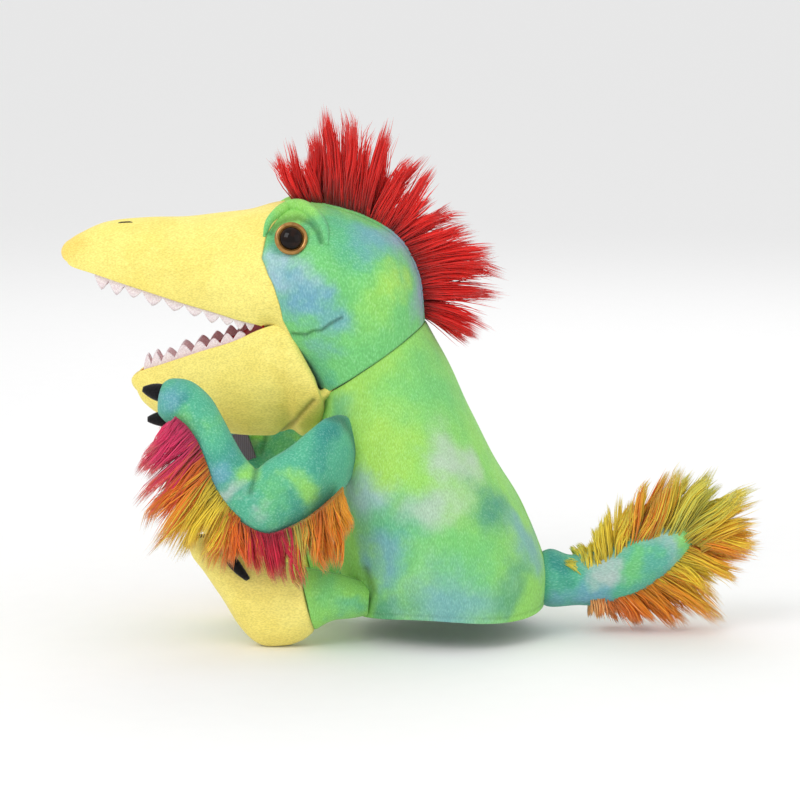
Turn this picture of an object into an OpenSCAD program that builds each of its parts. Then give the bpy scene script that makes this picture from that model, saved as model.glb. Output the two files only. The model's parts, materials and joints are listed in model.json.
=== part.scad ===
// Plush hand puppet of a long-beaked, crested bird-dinosaur with a moving mouth.
// X runs from the beak tip (-X) to the tail (+X), Y across the animal with its left side at -Y, Z up.
// The origin is on the surface that the feet rest on, under the middle of the whole puppet.

/* [Fabric] */
// Thickness of the plush shell, pile backing included
plush_t = 3; // [2.5:0.5:3.5]
// Thickness of felt, lining and pocket cloth
felt_t = 1.2; // [1:0.1:1.5]
// Thickness of the stiff boards in the mouth
board_t = 2; // [1.5:0.5:2.5]
// Gap between fabric that moves past fabric
move_gap = 0.8; // [0.6:0.1:1]

/* [Body] */
// Width of the body at the hips
body_w = 126; // [122:1:130]
// Height of the hand opening's rim above the surface
rim_h = 17; // [15:1:19]

/* [Head] */
// Width of the head at the cheeks
head_w = 92; // [88:1:94]
// Width of the beak where it meets the head
beak_w = 73; // [70:1:75]
// Width of the lower jaw at its hinge
jaw_w = 47; // [44:1:48]
// Diameter of an eye's iris ring
eye_d = 21; // [18:1:22]
// Diameter of the wrist opening in the neck
wrist_d = 66; // [64:1:66]

/* [Mouth] */
// Longest tooth
tooth_h = 6.5; // [5:0.5:7]
// Teeth in each upper row
upper_teeth = 10; // [8:1:12]
// Teeth in each lower row
lower_teeth = 8; // [7:1:10]

/* [Limbs] */
// Distance of an arm's middle from the puppet's middle
arm_out = 71; // [70:1:73]
// Distance of a foot's middle from the puppet's middle
leg_out = 42; // [41:1:43]
// Width of the tail at its thickest
tail_w = 36; // [32:1:38]

/* [Hidden] */

$fn = 48;
limb_sides = 14;   // flats around a stuffed limb
fringe_sides = 12; // flats around a fur trim
panel_step = 12;   // degrees between points across a shell panel
fit_gap = 0.3;     // gap between wadding and the shell around it

lime = [0.62, 0.89, 0.42];
sea_green = [0.31, 0.71, 0.54];
sky_blue = [0.44, 0.66, 0.81];
lavender = [0.72, 0.71, 0.81];
lemon = [0.98, 0.93, 0.58];
lining_red = [0.78, 0.03, 0.05];
pile_red = [0.85, 0.05, 0.06];
fur_pink = [0.94, 0.19, 0.42];
fur_orange = [1, 0.48, 0.06];
fur_yellow = [1, 0.82, 0.12];
cream = [0.95, 0.93, 0.88];

// A row is one section across a part: crown x, crown z, keel x, keel z, half width as a share
// of the part's own, and how far the middle is moved across. The crown and keel are the two
// ends of the section in side view.
body_rows = [
    [78, rim_h, -38, rim_h, 0.98, 0],
    [79.5, 42, -46, 43, 1, 0],
    [66.5, 73, -51, 70, 0.97, 0],
    [50, 103, -54, 96, 0.89, 0],
    [34.5, 133, -56, 118, 0.78, 0],
    [21, 161, -57, 132, 0.69, 0],
    [11, 183, -56.5, 139, 0.64, 0]];
skull_rows = [
    [5.5, 199.5, -63, 154, 0.9, 0],
    [4, 217, -66, 163, 0.97, 0],
    [-7, 238, -72, 171, 1, 0],
    [-29, 253, -79, 179, 0.98, 0],
    [-55, 260.5, -86, 185.5, 0.9, 0],
    [-80, 260.5, -93, 190, 0.79, 0]];
beak_rows = [
    [-80.3, 260.5, -93.3, 190, 1, 0],
    [-101, 255, -108, 193.5, 0.86, 0],
    [-129, 252, -132, 200.5, 0.71, 0],
    [-160, 250.5, -163, 210, 0.56, 0],
    [-183, 248, -187, 217.5, 0.42, 0],
    [-199, 241.5, -203, 222, 0.27, 0],
    [-207, 235, -209, 226, 0.13, 0]];
// The jaw's rows run from its tip back to its hinge, with the crown under the chin
jaw_rows = [
    [-167.5, 149, -166, 158, 0.2, 0],
    [-163, 140, -162, 160.5, 0.4, 0],
    [-150, 131, -149, 165, 0.58, 0],
    [-124, 123, -127, 173, 0.81, 0],
    [-98, 119.5, -108, 179.5, 0.94, 0],
    [-74, 126, -90, 185, 1, 0]];
throat_rows = [
    [-59.5, 146, -81, 180, 0.9, 0],
    [-61, 130, -83, 180.5, 1, 0],
    [-72.5, 125.5, -86, 181, 1, 0]];
// The crest's rows run from the nape to the brow: tip of the pile, root of the pile
crest_rows = [
    [42, 184, 10, 203, 0.5, 0],
    [51, 205, 8.5, 211, 0.85, 0],
    [49, 226, 4.5, 226, 1, 0],
    [34, 254, -4, 242, 1, 0],
    [9, 284, -20, 253.5, 1, 0],
    [-17, 304, -36, 260.5, 1, 0],
    [-44, 318, -52, 264.5, 0.95, 0],
    [-66, 309, -64, 266, 0.7, 0],
    [-79, 297, -70, 266.5, 0.4, 0]];
crest_half = 13;
// The arm's rows run from the shoulder ball to the hand
shoulder = [-50, 54, 112];
shoulder_r = 16;
arm_half = 13;
arm_rows = [
    [-38, 122.5, -40, 100, 0.9, -17],
    [-47, 127, -47, 97, 1.14, -16],
    [-60, 130, -56, 84, 1.06, -10],
    [-75, 121, -68, 74, 1.04, -4],
    [-88, 112, -86, 66, 1, -1],
    [-97, 106.5, -109, 71, 1, 0],
    [-102, 112, -124, 87, 1, 0],
    [-109, 123, -133, 107, 1, -1],
    [-118, 139, -142, 124, 0.98, -3],
    [-128, 152, -150.5, 138, 0.9, -5],
    [-139, 159, -155, 146.5, 0.66, -6],
    [-146, 160.5, -155.5, 153, 0.35, -6]];
forearm_fringe_rows = [
    [-159, 122, -150, 131, 0.5, 0],
    [-167, 107, -145.5, 121, 0.9, 0],
    [-168, 90, -140, 109.5, 1, 0],
    [-160, 67, -133, 95, 1, 0],
    [-146, 47, -123, 80, 1, 0],
    [-131, 41, -112, 70.5, 0.9, 0]];
elbow_fringe_rows = [
    [-128, 40, -110, 69, 0.9, 0],
    [-111, 34, -99, 65, 1, 0],
    [-92, 31, -86, 63, 1, 0],
    [-73, 35, -73, 69, 1, 0],
    [-58, 49, -62, 76, 0.9, 0],
    [-47, 62, -54, 82, 0.6, 0]];
fringe_half = 7;
// The leg's rows run from the hip ball to the toes
hip = [-48, 42, 28];
hip_r = 15;
leg_half = 15;
leg_rows = [
    [-37, 38, -37, 18, 0.72, 0],
    [-43, 42, -42, 14, 0.94, 0],
    [-55, 46, -53, 8, 1, 0],
    [-69, 48.5, -65, 1, 1, 0],
    [-83, 52, -82, -2.5, 1, 0],
    [-96, 56, -99, -0.5, 1, 0],
    [-106, 60, -111, 16, 1, 0],
    [-114, 63.5, -121, 33, 0.95, 0],
    [-122, 65.5, -129, 46, 0.78, 0],
    [-128, 65, -132, 56, 0.45, 0]];
foot_row = 3;      // the leg row where the green thigh ends and the yellow foot begins
// The tail's rows run from its root ball to its tip, with the crown on the underside
tail_root = [84, 0, 32];
tail_root_r = 17;
tail_rows = [
    [72, 20, 72, 44, 0.67, 0],
    [78, 16.2, 78, 47.8, 0.88, 0],
    [84, 15, 84, 49, 0.94, 0],
    [97, 15.5, 95, 46, 0.87, 0],
    [113, 16.5, 109, 50, 0.92, 0],
    [133, 20.5, 125, 60, 1, 0],
    [150, 31, 141, 68, 0.97, 0],
    [164, 44, 157, 72, 0.83, 0],
    [174, 57, 170, 71, 0.45, 0]];
tail_top_rows = [
    [97, 48, 100, 56, 0.3, 0],
    [110, 52, 117, 70, 0.6, 0],
    [124, 62.5, 134, 86, 0.85, 0],
    [141, 70.5, 158, 97, 1, 0],
    [158, 74.5, 186, 98, 1, 0],
    [171, 73, 205, 84, 0.9, 0],
    [176, 68, 209, 70, 0.6, 0]];
tail_bottom_rows = [
    [106, 8, 110, 15, 0.35, 0],
    [124, -2, 127, 17.5, 0.8, 0],
    [150, -3, 142, 24, 1, 0],
    [180, -2, 158, 36, 1, 0],
    [191, 15, 169, 47, 0.9, 0],
    [206, 38, 176, 56, 0.75, 0],
    [209, 57, 178, 64, 0.5, 0]];
tail_fringe_half = 14;

mouth_corner = [-88, 0, 187];
palate_pitch = 16.8;  // rise of the beak's lower edge towards the tip
jaw_pitch = -19.3;    // fall of the jaw's upper edge towards its tip
palate_recess = 5;
jaw_recess = 3;
rim_angle = 125;      // where a beak or jaw section ends, measured from its crown
gusset_angle = 15;    // half of the strip along the top of the head
skull_open_angle = 150;
neck_middle = [-25.5, 0, 168];
neck_tilt = -35;
neck_gusset_t = 2.5;
eye_place = [-75, 33.5, 245];
eye_aim = [-70, 0, -8]; // turns +Z to the eye's own outward direction on the right side

// --- sections and lofts ---

function spline_row(p, i, t) =
    let (n = len(p) - 1, a = p[max(i - 1, 0)], b = p[i], c = p[min(i + 1, n)],
         d = p[min(i + 2, n)])
    0.5 * (2 * b + (c - a) * t + (2 * a - 5 * b + 4 * c - d) * t * t
        + (3 * b - a - 3 * c + d) * t * t * t);

// Rows sized to a part: widths multiplied, the middle moved across, each gap split in two
function sized(p, half, out = 0) =
    [for (r = p) [r[0], r[1], r[2], r[3], r[4] * half, r[5] + out]];
function smooth_rows(p) = concat(
    [for (i = [0:len(p) - 2], t = [0, 0.5]) spline_row(p, i, t)], [p[len(p) - 1]]);
function part_of(p, first, last) = [for (i = [first:last]) p[i]];

// The point of a section at an angle from its crown and a depth below its surface; full is
// the angle at which the section ends at its keel
function section_point(row, angle, depth, full = 180) =
    let (crown = [row[0], row[1]], keel = [row[2], row[3]], span = norm(crown - keel),
         up = (crown - keel) / span, half_h = span / (1 - cos(full)),
         flat = crown + up * ((half_h - depth) * cos(angle) - half_h))
    [flat[0], row[5] + (row[4] - depth) * sin(angle), flat[1]];

function ring(row, depth, sides) =
    [for (k = [0:sides - 1]) section_point(row, 360 * k / sides, depth)];
function arc_steps(low, high) = let (n = ceil((high - low) / panel_step))
    [for (k = [0:n]) low + (high - low) * k / n];
// A strip of a section's wall between two angles and two depths
function strip(row, low, high, outer, inner, full) =
    let (steps = arc_steps(low, high), n = len(steps) - 1) concat(
        [for (a = steps) section_point(row, a, outer, full)],
        [for (k = [0:n]) section_point(row, steps[n - k], inner, full)]);

// The end of a strip as pairs of triangles across its wall, since the strip is bent
function curved_cap(start, sides) = [for (k = [0:sides / 2 - 2]) each
    [[start + k, start + k + 1, start + sides - 2 - k],
     [start + k, start + sides - 2 - k, start + sides - 1 - k]]];

// A closed solid through a list of rings; a looped one joins its last ring to its first, and
// a curved one has rings bent like a strip of wall
module loft(rings, looped = false, curved = false) {
    sides = len(rings[0]);
    last = len(rings) - 1;
    walls = looped ? last : last - 1;
    first_cap = curved ? curved_cap(0, sides) : [[for (k = [0:sides - 1]) k]];
    last_cap = curved ? [for (f = curved_cap(last * sides, sides)) [f[2], f[1], f[0]]]
        : [[for (k = [sides - 1:-1:0]) last * sides + k]];
    faces = concat(
        looped ? [] : first_cap,
        [for (i = [0:walls], k = [0:sides - 1])
            let (a = i * sides + k, b = i * sides + (k + 1) % sides,
                 d = ((i + 1) % (last + 1)) * sides + k,
                 c = ((i + 1) % (last + 1)) * sides + (k + 1) % sides)
            each [[a, d, c], [a, c, b]]],
        looped ? [] : last_cap);
    polyhedron([for (r = rings) each r], faces);
}

module panel(rows, low, high, outer = 0, inner = plush_t, full = 180) {
    loft([for (r = rows) strip(r, low, high, outer, inner, full)], curved = true);
}

module solid(rows, depth = 0, sides = limb_sides) {
    loft([for (r = rows) ring(r, depth, sides)]);
}

// A shell closed at its far end and open at its first row
module cup(rows, outer = 0, inner = plush_t, sides = limb_sides) {
    n = len(rows) - 1;
    loft(concat(
        [for (i = [n - 1:-1:0]) ring(rows[i], inner, sides)],
        [for (r = rows) ring(r, outer, sides)]));
}

// A shell open at both ends
module sleeve(rows, outer = 0, inner = plush_t, sides = limb_sides) {
    n = len(rows) - 1;
    loft(concat(
        [for (r = rows) ring(r, outer, sides)],
        [for (i = [n:-1:0]) ring(rows[i], inner, sides)]), looped = true);
}

module left() {
    mirror([0, 1, 0]) children();
}

module above_floor() {
    difference() {
        children();
        translate([-300, -300, -50]) cube([600, 600, 50]);
    }
}

module ball(centre, r) {
    translate(centre) sphere(r);
}

// --- body ---

body_shape = smooth_rows(sized(body_rows, body_w / 2));

// A short fabric root that reaches from the body's side to a limb's ball
module limb_root(from, to, r_from, r_to) {
    hull() {
        ball(from, r_from, $fn = 24);
        ball(to, r_to, $fn = 24);
    }
}

module body_half() {
    shoulder_root = [-38, 37, 110];
    hip_root = [-30, 35, 33];
    difference() {
        union() {
            panel(body_shape, 0, 180);
            limb_root(shoulder_root, [-44, 47, 111], 9, 11.5);
            limb_root(hip_root, [-38, 41, 29], 9, 10.5);
        }
        ball(shoulder, shoulder_r + move_gap);
        ball(hip, hip_r + move_gap);
        ball(tail_root, tail_root_r + move_gap);
        below_rim = 60;
        translate([-100, -5, rim_h - below_rim]) cube([250, 100, below_rim]);
    }
}

module body_panel_right() {
    color(lime) body_half();
}

module body_panel_left() {
    color(lime) left() body_half();
}

module hem_band() {
    rows = part_of(body_shape, 0, 1);
    hem_t = 1.5;
    color(sea_green) difference() {
        sleeve(rows, plush_t + fit_gap, plush_t + fit_gap + hem_t, 360 / panel_step);
        ball(tail_root, tail_root_r + move_gap);
    }
}

module hand_sleeve() {
    rows = part_of(body_shape, 4, 9);
    sleeve_in = 15;
    color(lavender) sleeve(rows, sleeve_in, sleeve_in + felt_t, 360 / panel_step);
}

module neck_gusset() {
    r = wrist_d / 2 + neck_gusset_t;
    color(sky_blue) translate(neck_middle) rotate([0, neck_tilt, 0]) difference() {
        sphere(r, $fn = 96);
        sphere(r - neck_gusset_t, $fn = 96);
        translate([0, 0, r * 0.7]) cylinder(h = r, r = r * 1.2);
        translate([0, 0, -r * 1.7]) cylinder(h = r, r = r * 1.2);
    }
}

// --- head ---

skull_shape = smooth_rows(sized(skull_rows, head_w / 2));

module at_eye() {
    translate(eye_place) rotate(eye_aim) children();
}

shank_r = 2.4;
shank_l = 16;

module skull_half() {
    difference() {
        panel(skull_shape, gusset_angle, skull_open_angle);
        at_eye() translate([0, 0, -15]) cylinder(h = 30, r = shank_r + 0.2);
    }
}

module skull_panel_right() {
    color(sea_green) skull_half();
}

module skull_panel_left() {
    color(sea_green) left() skull_half();
}

module head_gusset() {
    color(lavender) panel(skull_shape, -gusset_angle, gusset_angle);
}

module crest_backing() {
    rows = part_of(skull_shape, 1, 8);
    tape_angle = 9;
    color(pile_red * 0.7) panel(rows, -tape_angle, tape_angle, -felt_t - fit_gap, -fit_gap);
}

module crest_pile() {
    color(pile_red) solid(smooth_rows(sized(crest_rows, crest_half)), 0, fringe_sides);
}

beak_shape = smooth_rows(sized(beak_rows, beak_w / 2));

module beak_half() {
    panel(beak_shape, 0, rim_angle, full = rim_angle);
}

module beak_panel_right() {
    color(lemon) beak_half();
}

module beak_panel_left() {
    color(lemon) left() beak_half();
}

// Stuffing in the front of the beak, above the board
module beak_wadding() {
    rows = part_of(beak_shape, 6, 10);
    inside = plush_t + fit_gap;
    fill_angle = 95;
    color(cream) loft([for (r = rows) let (steps = arc_steps(-fill_angle, fill_angle))
        [for (a = steps) section_point(r, a, inside, rim_angle)]]);
}

module at_palate() {
    translate(mouth_corner) rotate([0, palate_pitch, 0]) children();
}

module at_jaw() {
    translate(mouth_corner) rotate([0, jaw_pitch, 0]) children();
}

// A flat piece with its outline given as distance forward and half width
module tapered_plate(outline, thick) {
    n = len(outline) - 1;
    linear_extrude(thick) polygon(concat(
        [for (p = outline) [-p[0], p[1]]],
        [for (i = [n:-1:0]) [-outline[i][0], -outline[i][1]]]));
}

palate_outline = [[10, 22.5], [30, 19.5], [60, 14.5], [90, 9], [108, 4.5]];
jaw_outline = [[7, 14.5], [30, 12.5], [50, 9.5], [68, 5]];

module palate_lining() {
    color(lining_red) at_palate() translate([0, 0, palate_recess])
        tapered_plate(palate_outline, felt_t);
}

module palate_board() {
    color(cream) at_palate() translate([0, 0, palate_recess + felt_t + 0.05])
        tapered_plate([for (p = palate_outline) p - [0, 1]], board_t);
}

module finger_pocket() {
    low = palate_recess + felt_t + board_t + 0.4;
    rows = [
        [-3, low + 24, -3, low, 21, 0],
        [-25, low + 24, -25, low, 18, 0],
        [-46, low + 21, -46, low, 14, 0],
        [-58, low + 17, -58, low + 3, 9, 0]];
    color(lavender) at_palate() cup(smooth_rows(rows), 0, felt_t, 20);
}

// A felt strip with pointed teeth that shrink towards one end, drawn in X and Y
function tooth_outline(length, count, tall, small) = concat(
    [for (i = [0:count - 1])
        let (w = length / count, x = i * w, h = tall + (small - tall) * i / (count - 1))
        each [[x, 0], [x + 0.38 * w, -h * 0.82], [x + 0.5 * w, -h],
              [x + 0.62 * w, -h * 0.82]]],
    [[length, 0], [length, 1.6], [0, 1.6]]);

module tooth_strip(from, to, count, tall, small) {
    run = to - from;
    length = norm([run[0], run[1]]);
    turn = atan2(run[1], run[0]);
    translate(from) rotate([0, 0, turn]) rotate([90, 0, 0])
        translate([0, 0, -felt_t / 2]) linear_extrude(felt_t)
            polygon(tooth_outline(length, count, tall, small));
}

module upper_teeth_right() {
    color(cream) at_palate()
        tooth_strip([-96, 11.6, -1.7], [-9, 25, -1.7], upper_teeth, tooth_h, tooth_h * 0.65);
}

module upper_teeth_left() {
    left() upper_teeth_right();
}

module lower_teeth_right() {
    color(cream) at_jaw() mirror([0, 0, 1])
        tooth_strip([-73, 7, -1.7], [-11, 17.3, -1.7], lower_teeth, tooth_h, tooth_h * 0.65);
}

module lower_teeth_left() {
    left() lower_teeth_right();
}

module nostril_stitches() {
    color("dimgray") for (side = [-1, 1])
        translate([-172, side * 4, 249.6]) rotate([0, 82, 0]) cylinder(h = 6, r = 0.5);
}

module iris_right() {
    seat = 2;
    color("darkgoldenrod") at_eye() difference() {
        union() {
            translate([0, 0, seat]) cylinder(h = 1.2, r = eye_d / 2);
            translate([0, 0, seat + 1.2]) cylinder(h = 2, r1 = eye_d / 2, r2 = eye_d / 3);
        }
        cylinder(h = 10, r = shank_r + 0.05);
        translate([0, 0, seat + 2.2]) cylinder(h = 10, r = eye_d / 3 - 0.6);
    }
}

module iris_left() {
    left() iris_right();
}

// Domed pupil and its shank, which passes through the head's fabric
module eye_right() {
    pupil_r = eye_d / 3 - 0.75;
    bottom = 4.25;
    color("black") at_eye() union() {
        translate([0, 0, bottom]) intersection() {
            translate([0, 0, -6]) sphere(r = norm([pupil_r, 6]));
            cylinder(h = 10, r = pupil_r);
        }
        translate([0, 0, bottom - shank_l]) cylinder(h = shank_l, r = shank_r);
    }
}

module eye_left() {
    left() eye_right();
}

module eye_washer() {
    at_eye() translate([0, 0, -11]) difference() {
        cylinder(h = 1.6, r = 7);
        translate([0, 0, -1]) cylinder(h = 4, r = shank_r + 0.02);
    }
}

module eye_washers() {
    color("ivory") {
        eye_washer();
        left() eye_washer();
    }
}

// Folded fabric over the eye
module eyelid_right() {
    color(sea_green) at_eye() rotate([0, 0, -35]) translate([0, 0, 1.2])
        rotate_extrude(angle = 190) translate([eye_d / 2 + 2.4, 0]) circle(r = 2.2);
}

module eyelid_left() {
    left() eyelid_right();
}

module throat_gusset() {
    rows = sized(throat_rows, jaw_w / 2 - 1);
    color(lemon) left() panel([for (i = [2:-1:0]) rows[i]], -rim_angle, rim_angle,
        full = rim_angle, inner = 2.5);
}

// --- lower jaw ---

jaw_shape = smooth_rows(sized(jaw_rows, jaw_w / 2));

module jaw_panel_right() {
    color(lemon) panel(jaw_shape, 0, rim_angle, full = rim_angle);
}

module jaw_panel_left() {
    left() jaw_panel_right();
}

module jaw_lining() {
    color(lining_red) at_jaw() translate([0, 0, -jaw_recess - felt_t])
        tapered_plate(jaw_outline, felt_t);
}

module jaw_board() {
    color(cream) at_jaw() translate([0, 0, -jaw_recess - felt_t - board_t - 0.05])
        tapered_plate([for (p = jaw_outline) p - [0, 1]], board_t);
}

module jaw_wadding() {
    rows = part_of(jaw_shape, 2, 5);
    inside = plush_t + fit_gap;
    fill_angle = 88;
    color(cream) loft([for (r = rows) let (steps = arc_steps(-fill_angle, fill_angle))
        [for (a = steps) section_point(r, a, inside, rim_angle)]]);
}

module thumb_pocket() {
    top = -jaw_recess - felt_t - board_t - 0.4;
    rows = [
        [-6, top, -6, top - 23, 14, 0],
        [-20, top, -20, top - 22, 12.5, 0],
        [-32, top - 1, -32, top - 18, 9, 0]];
    color(lavender) at_jaw() cup(smooth_rows(rows), 0, felt_t, 20);
}

// --- arms ---

arm_shape = smooth_rows(sized(arm_rows, arm_half, arm_out));

module arm_skin_right() {
    color(sea_green) cup(arm_shape);
}

module arm_wadding_right() {
    color(cream) solid(part_of(arm_shape, 0, len(arm_shape) - 2), plush_t + fit_gap);
}

// A stubby pointed claw along -X
module claw(r, length) {
    rotate([0, -90, 0]) {
        cylinder(h = length, r1 = r, r2 = r * 0.25);
        sphere(r);
    }
}

module hand_claws_right() {
    claw_r = 4.2;
    color("black") {
        translate([-158.5, arm_out - 6, 152]) rotate([0, -8, 0]) claw(claw_r, 9);
        translate([-155.5, arm_out - 5, 136]) rotate([0, -16, 0]) claw(claw_r, 9);
    }
}

module forearm_fringe_right() {
    rows = smooth_rows(sized(forearm_fringe_rows, fringe_half, arm_out + 2));
    color(fur_orange) solid(rows, 0, fringe_sides);
}

module elbow_fringe_right() {
    rows = smooth_rows(sized(elbow_fringe_rows, fringe_half, arm_out + 2));
    color(fur_pink) solid(rows, 0, fringe_sides);
}

module care_label() {
    color("slategray") translate([-107.5, arm_out - 4, 119.5]) rotate([0, 58, 0])
        cube([17, 8, 0.8]);
}

// --- legs ---

leg_shape = smooth_rows(sized(leg_rows, leg_half, leg_out));
foot_start = 2 * foot_row;
foot_end = len(leg_shape) - 1;

module thigh_skin_right() {
    color(lime) above_floor() sleeve(part_of(leg_shape, 0, foot_start));
}

module foot_skin_right() {
    color(lemon) above_floor() cup(part_of(leg_shape, foot_start, foot_end));
}

module leg_wadding_right() {
    color(cream) solid(part_of(leg_shape, 0, foot_end - 1), plush_t + fit_gap);
}

module foot_claws_right() {
    claw_r = 3;
    color("black") {
        translate([-135, leg_out - 8, 59]) rotate([0, 15, 0]) claw(claw_r, 8);
        translate([-128, leg_out + 2, 67]) rotate([0, 40, 0]) claw(claw_r, 8);
        translate([-114, leg_out + 12.3, 60]) rotate([0, 235, 0]) claw(claw_r, 14);
    }
}

// --- tail ---

tail_shape = smooth_rows(sized(tail_rows, tail_w / 2));

module tail_skin() {
    color(sky_blue) cup(tail_shape);
}

module tail_wadding() {
    color(cream) solid(part_of(tail_shape, 0, len(tail_shape) - 2), plush_t + fit_gap);
}

module tail_fringe_top() {
    color(fur_yellow) solid(smooth_rows(sized(tail_top_rows, tail_fringe_half)), 0, fringe_sides);
}

module tail_fringe_bottom() {
    color(fur_orange) above_floor()
        solid(smooth_rows(sized(tail_bottom_rows, tail_fringe_half)), 0, fringe_sides);
}

body_panel_left();
body_panel_right();
hem_band();
hand_sleeve();
neck_gusset();
skull_panel_left();
skull_panel_right();
head_gusset();
crest_backing();
crest_pile();
beak_panel_left();
beak_panel_right();
beak_wadding();
palate_lining();
palate_board();
finger_pocket();
upper_teeth_left();
upper_teeth_right();
nostril_stitches();
eye_left();
eye_right();
iris_left();
iris_right();
eye_washers();
eyelid_left();
eyelid_right();
throat_gusset();
jaw_panel_left();
jaw_panel_right();
jaw_lining();
jaw_board();
jaw_wadding();
thumb_pocket();
lower_teeth_left();
lower_teeth_right();
left() arm_skin_right();  // arm_skin_left
left() arm_wadding_right();  // arm_wadding_left
left() hand_claws_right();  // hand_claws_left
left() forearm_fringe_right();  // forearm_fringe_left
left() elbow_fringe_right();  // elbow_fringe_left
arm_skin_right();
arm_wadding_right();
hand_claws_right();
forearm_fringe_right();
elbow_fringe_right();
care_label();
left() thigh_skin_right();  // thigh_skin_left
left() foot_skin_right();  // foot_skin_left
left() leg_wadding_right();  // leg_wadding_left
left() foot_claws_right();  // foot_claws_left
thigh_skin_right();
foot_skin_right();
leg_wadding_right();
foot_claws_right();
tail_skin();
tail_wadding();
tail_fringe_top();
tail_fringe_bottom();
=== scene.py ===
"""A plush hand puppet: a crested, long-beaked bird-dinosaur with a moving mouth.

Lengths are in millimetres in the classes below and become metres where a mesh is placed.
X runs from the beak's tip (-X) to the tail (+X), the puppet's left side is at -Y and Z is up.
"""

import json
import logging
import math
import random
from collections.abc import Callable, Sequence
from dataclasses import dataclass, field
from enum import Enum

import bmesh
import bpy
import numpy as np
from mathutils import Euler, Matrix, Vector, noise
from mathutils.bvhtree import BVHTree

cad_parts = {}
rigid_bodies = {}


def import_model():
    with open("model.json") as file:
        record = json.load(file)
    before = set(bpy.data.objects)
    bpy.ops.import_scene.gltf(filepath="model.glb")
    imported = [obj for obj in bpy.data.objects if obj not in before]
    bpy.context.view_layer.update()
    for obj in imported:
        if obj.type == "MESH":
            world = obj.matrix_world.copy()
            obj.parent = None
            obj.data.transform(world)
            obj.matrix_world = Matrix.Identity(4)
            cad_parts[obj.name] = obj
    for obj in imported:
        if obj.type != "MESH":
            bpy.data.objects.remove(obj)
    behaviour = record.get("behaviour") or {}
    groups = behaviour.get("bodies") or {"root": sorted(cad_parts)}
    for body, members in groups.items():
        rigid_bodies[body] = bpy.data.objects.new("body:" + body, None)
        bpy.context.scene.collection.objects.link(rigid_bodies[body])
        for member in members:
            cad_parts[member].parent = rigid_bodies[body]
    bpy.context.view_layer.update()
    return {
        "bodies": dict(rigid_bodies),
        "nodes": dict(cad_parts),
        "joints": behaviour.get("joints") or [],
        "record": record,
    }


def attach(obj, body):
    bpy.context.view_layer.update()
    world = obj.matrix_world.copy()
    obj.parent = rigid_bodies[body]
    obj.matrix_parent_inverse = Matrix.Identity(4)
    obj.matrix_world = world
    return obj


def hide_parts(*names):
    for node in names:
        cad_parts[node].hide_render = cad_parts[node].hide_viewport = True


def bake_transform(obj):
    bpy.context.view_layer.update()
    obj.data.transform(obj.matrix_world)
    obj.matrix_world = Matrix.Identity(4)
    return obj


MM = 0.001
WELD = 2e-6

Row = Sequence[float]
Colour = tuple[float, float, float]
Place = Callable[[float, float], Vector]
Groove = Callable[[Vector, float, float], float]

log = logging.getLogger("puppet")


class Side(Enum):
    """Which side of the puppet a piece is on; the value is the sign of its Y."""

    LEFT = -1
    RIGHT = 1

    @property
    def word(self) -> str:
        """The side's name as the CAD nodes spell it."""
        return self.name.lower()


class Slot(Enum):
    """The names of the record's material slots."""

    TIE_DYE = "tie_dye_plush"
    LEMON = "lemon_plush"
    RED_FUR = "red_fur"
    RAINBOW_FUR = "rainbow_fur"
    RED_FELT = "red_felt"
    WHITE_FELT = "white_felt"
    BLACK_FELT = "black_felt"
    BRONZE = "bronze_plastic"
    BLACK_PLASTIC = "black_plastic"
    THREAD = "dark_thread"
    LABEL = "label_tape"


# --- shader maths -------------------------------------------------------------------------


def linear(r: int, g: int, b: int) -> Colour:
    """Turns an 8-bit screen colour into the linear one that shaders take.

    Args:
        r: Red, 0 to 255.
        g: Green, 0 to 255.
        b: Blue, 0 to 255.

    Returns:
        The linear colour.
    """
    return tuple(((c / 255 + 0.055) / 1.055) ** 2.4 if c > 10 else c / 3294 for c in (r, g, b))


class Wire:
    """A shader socket whose value can be used in a Python expression."""

    def __init__(self, tree: "Tree", socket: bpy.types.NodeSocket) -> None:
        """Keeps the socket and the tree that new nodes go into."""
        self.tree = tree
        self.socket = socket

    def math(self, operation: str, *others: "Wire | float", flip: bool = False) -> "Wire":
        """Adds a Math node.

        Args:
            operation: The Math node's operation.
            others: The values after this one.
            flip: True if this wire is the second operand.

        Returns:
            The node's result.
        """
        values = [self, *others]
        if flip:
            values.reverse()
        return self.tree.node("ShaderNodeMath", {"operation": operation}, dict(enumerate(values)))

    def __add__(self, other: "Wire | float") -> "Wire":
        """This plus other."""
        return self.math("ADD", other)

    def __radd__(self, other: float) -> "Wire":
        """Other plus this."""
        return self.math("ADD", other, flip=True)

    def __sub__(self, other: "Wire | float") -> "Wire":
        """This less other."""
        return self.math("SUBTRACT", other)

    def __rsub__(self, other: float) -> "Wire":
        """Other less this."""
        return self.math("SUBTRACT", other, flip=True)

    def __mul__(self, other: "Wire | float") -> "Wire":
        """This times other."""
        return self.math("MULTIPLY", other)

    def __rmul__(self, other: float) -> "Wire":
        """Other times this."""
        return self.math("MULTIPLY", other, flip=True)

    def fade(self, start: float, end: float) -> "Wire":
        """A smooth step from 0 where this is start to 1 where it is end."""
        settings = {"interpolation_type": "SMOOTHSTEP"}
        return self.tree.node("ShaderNodeMapRange", settings, {0: self, 1: start, 2: end})


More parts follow.
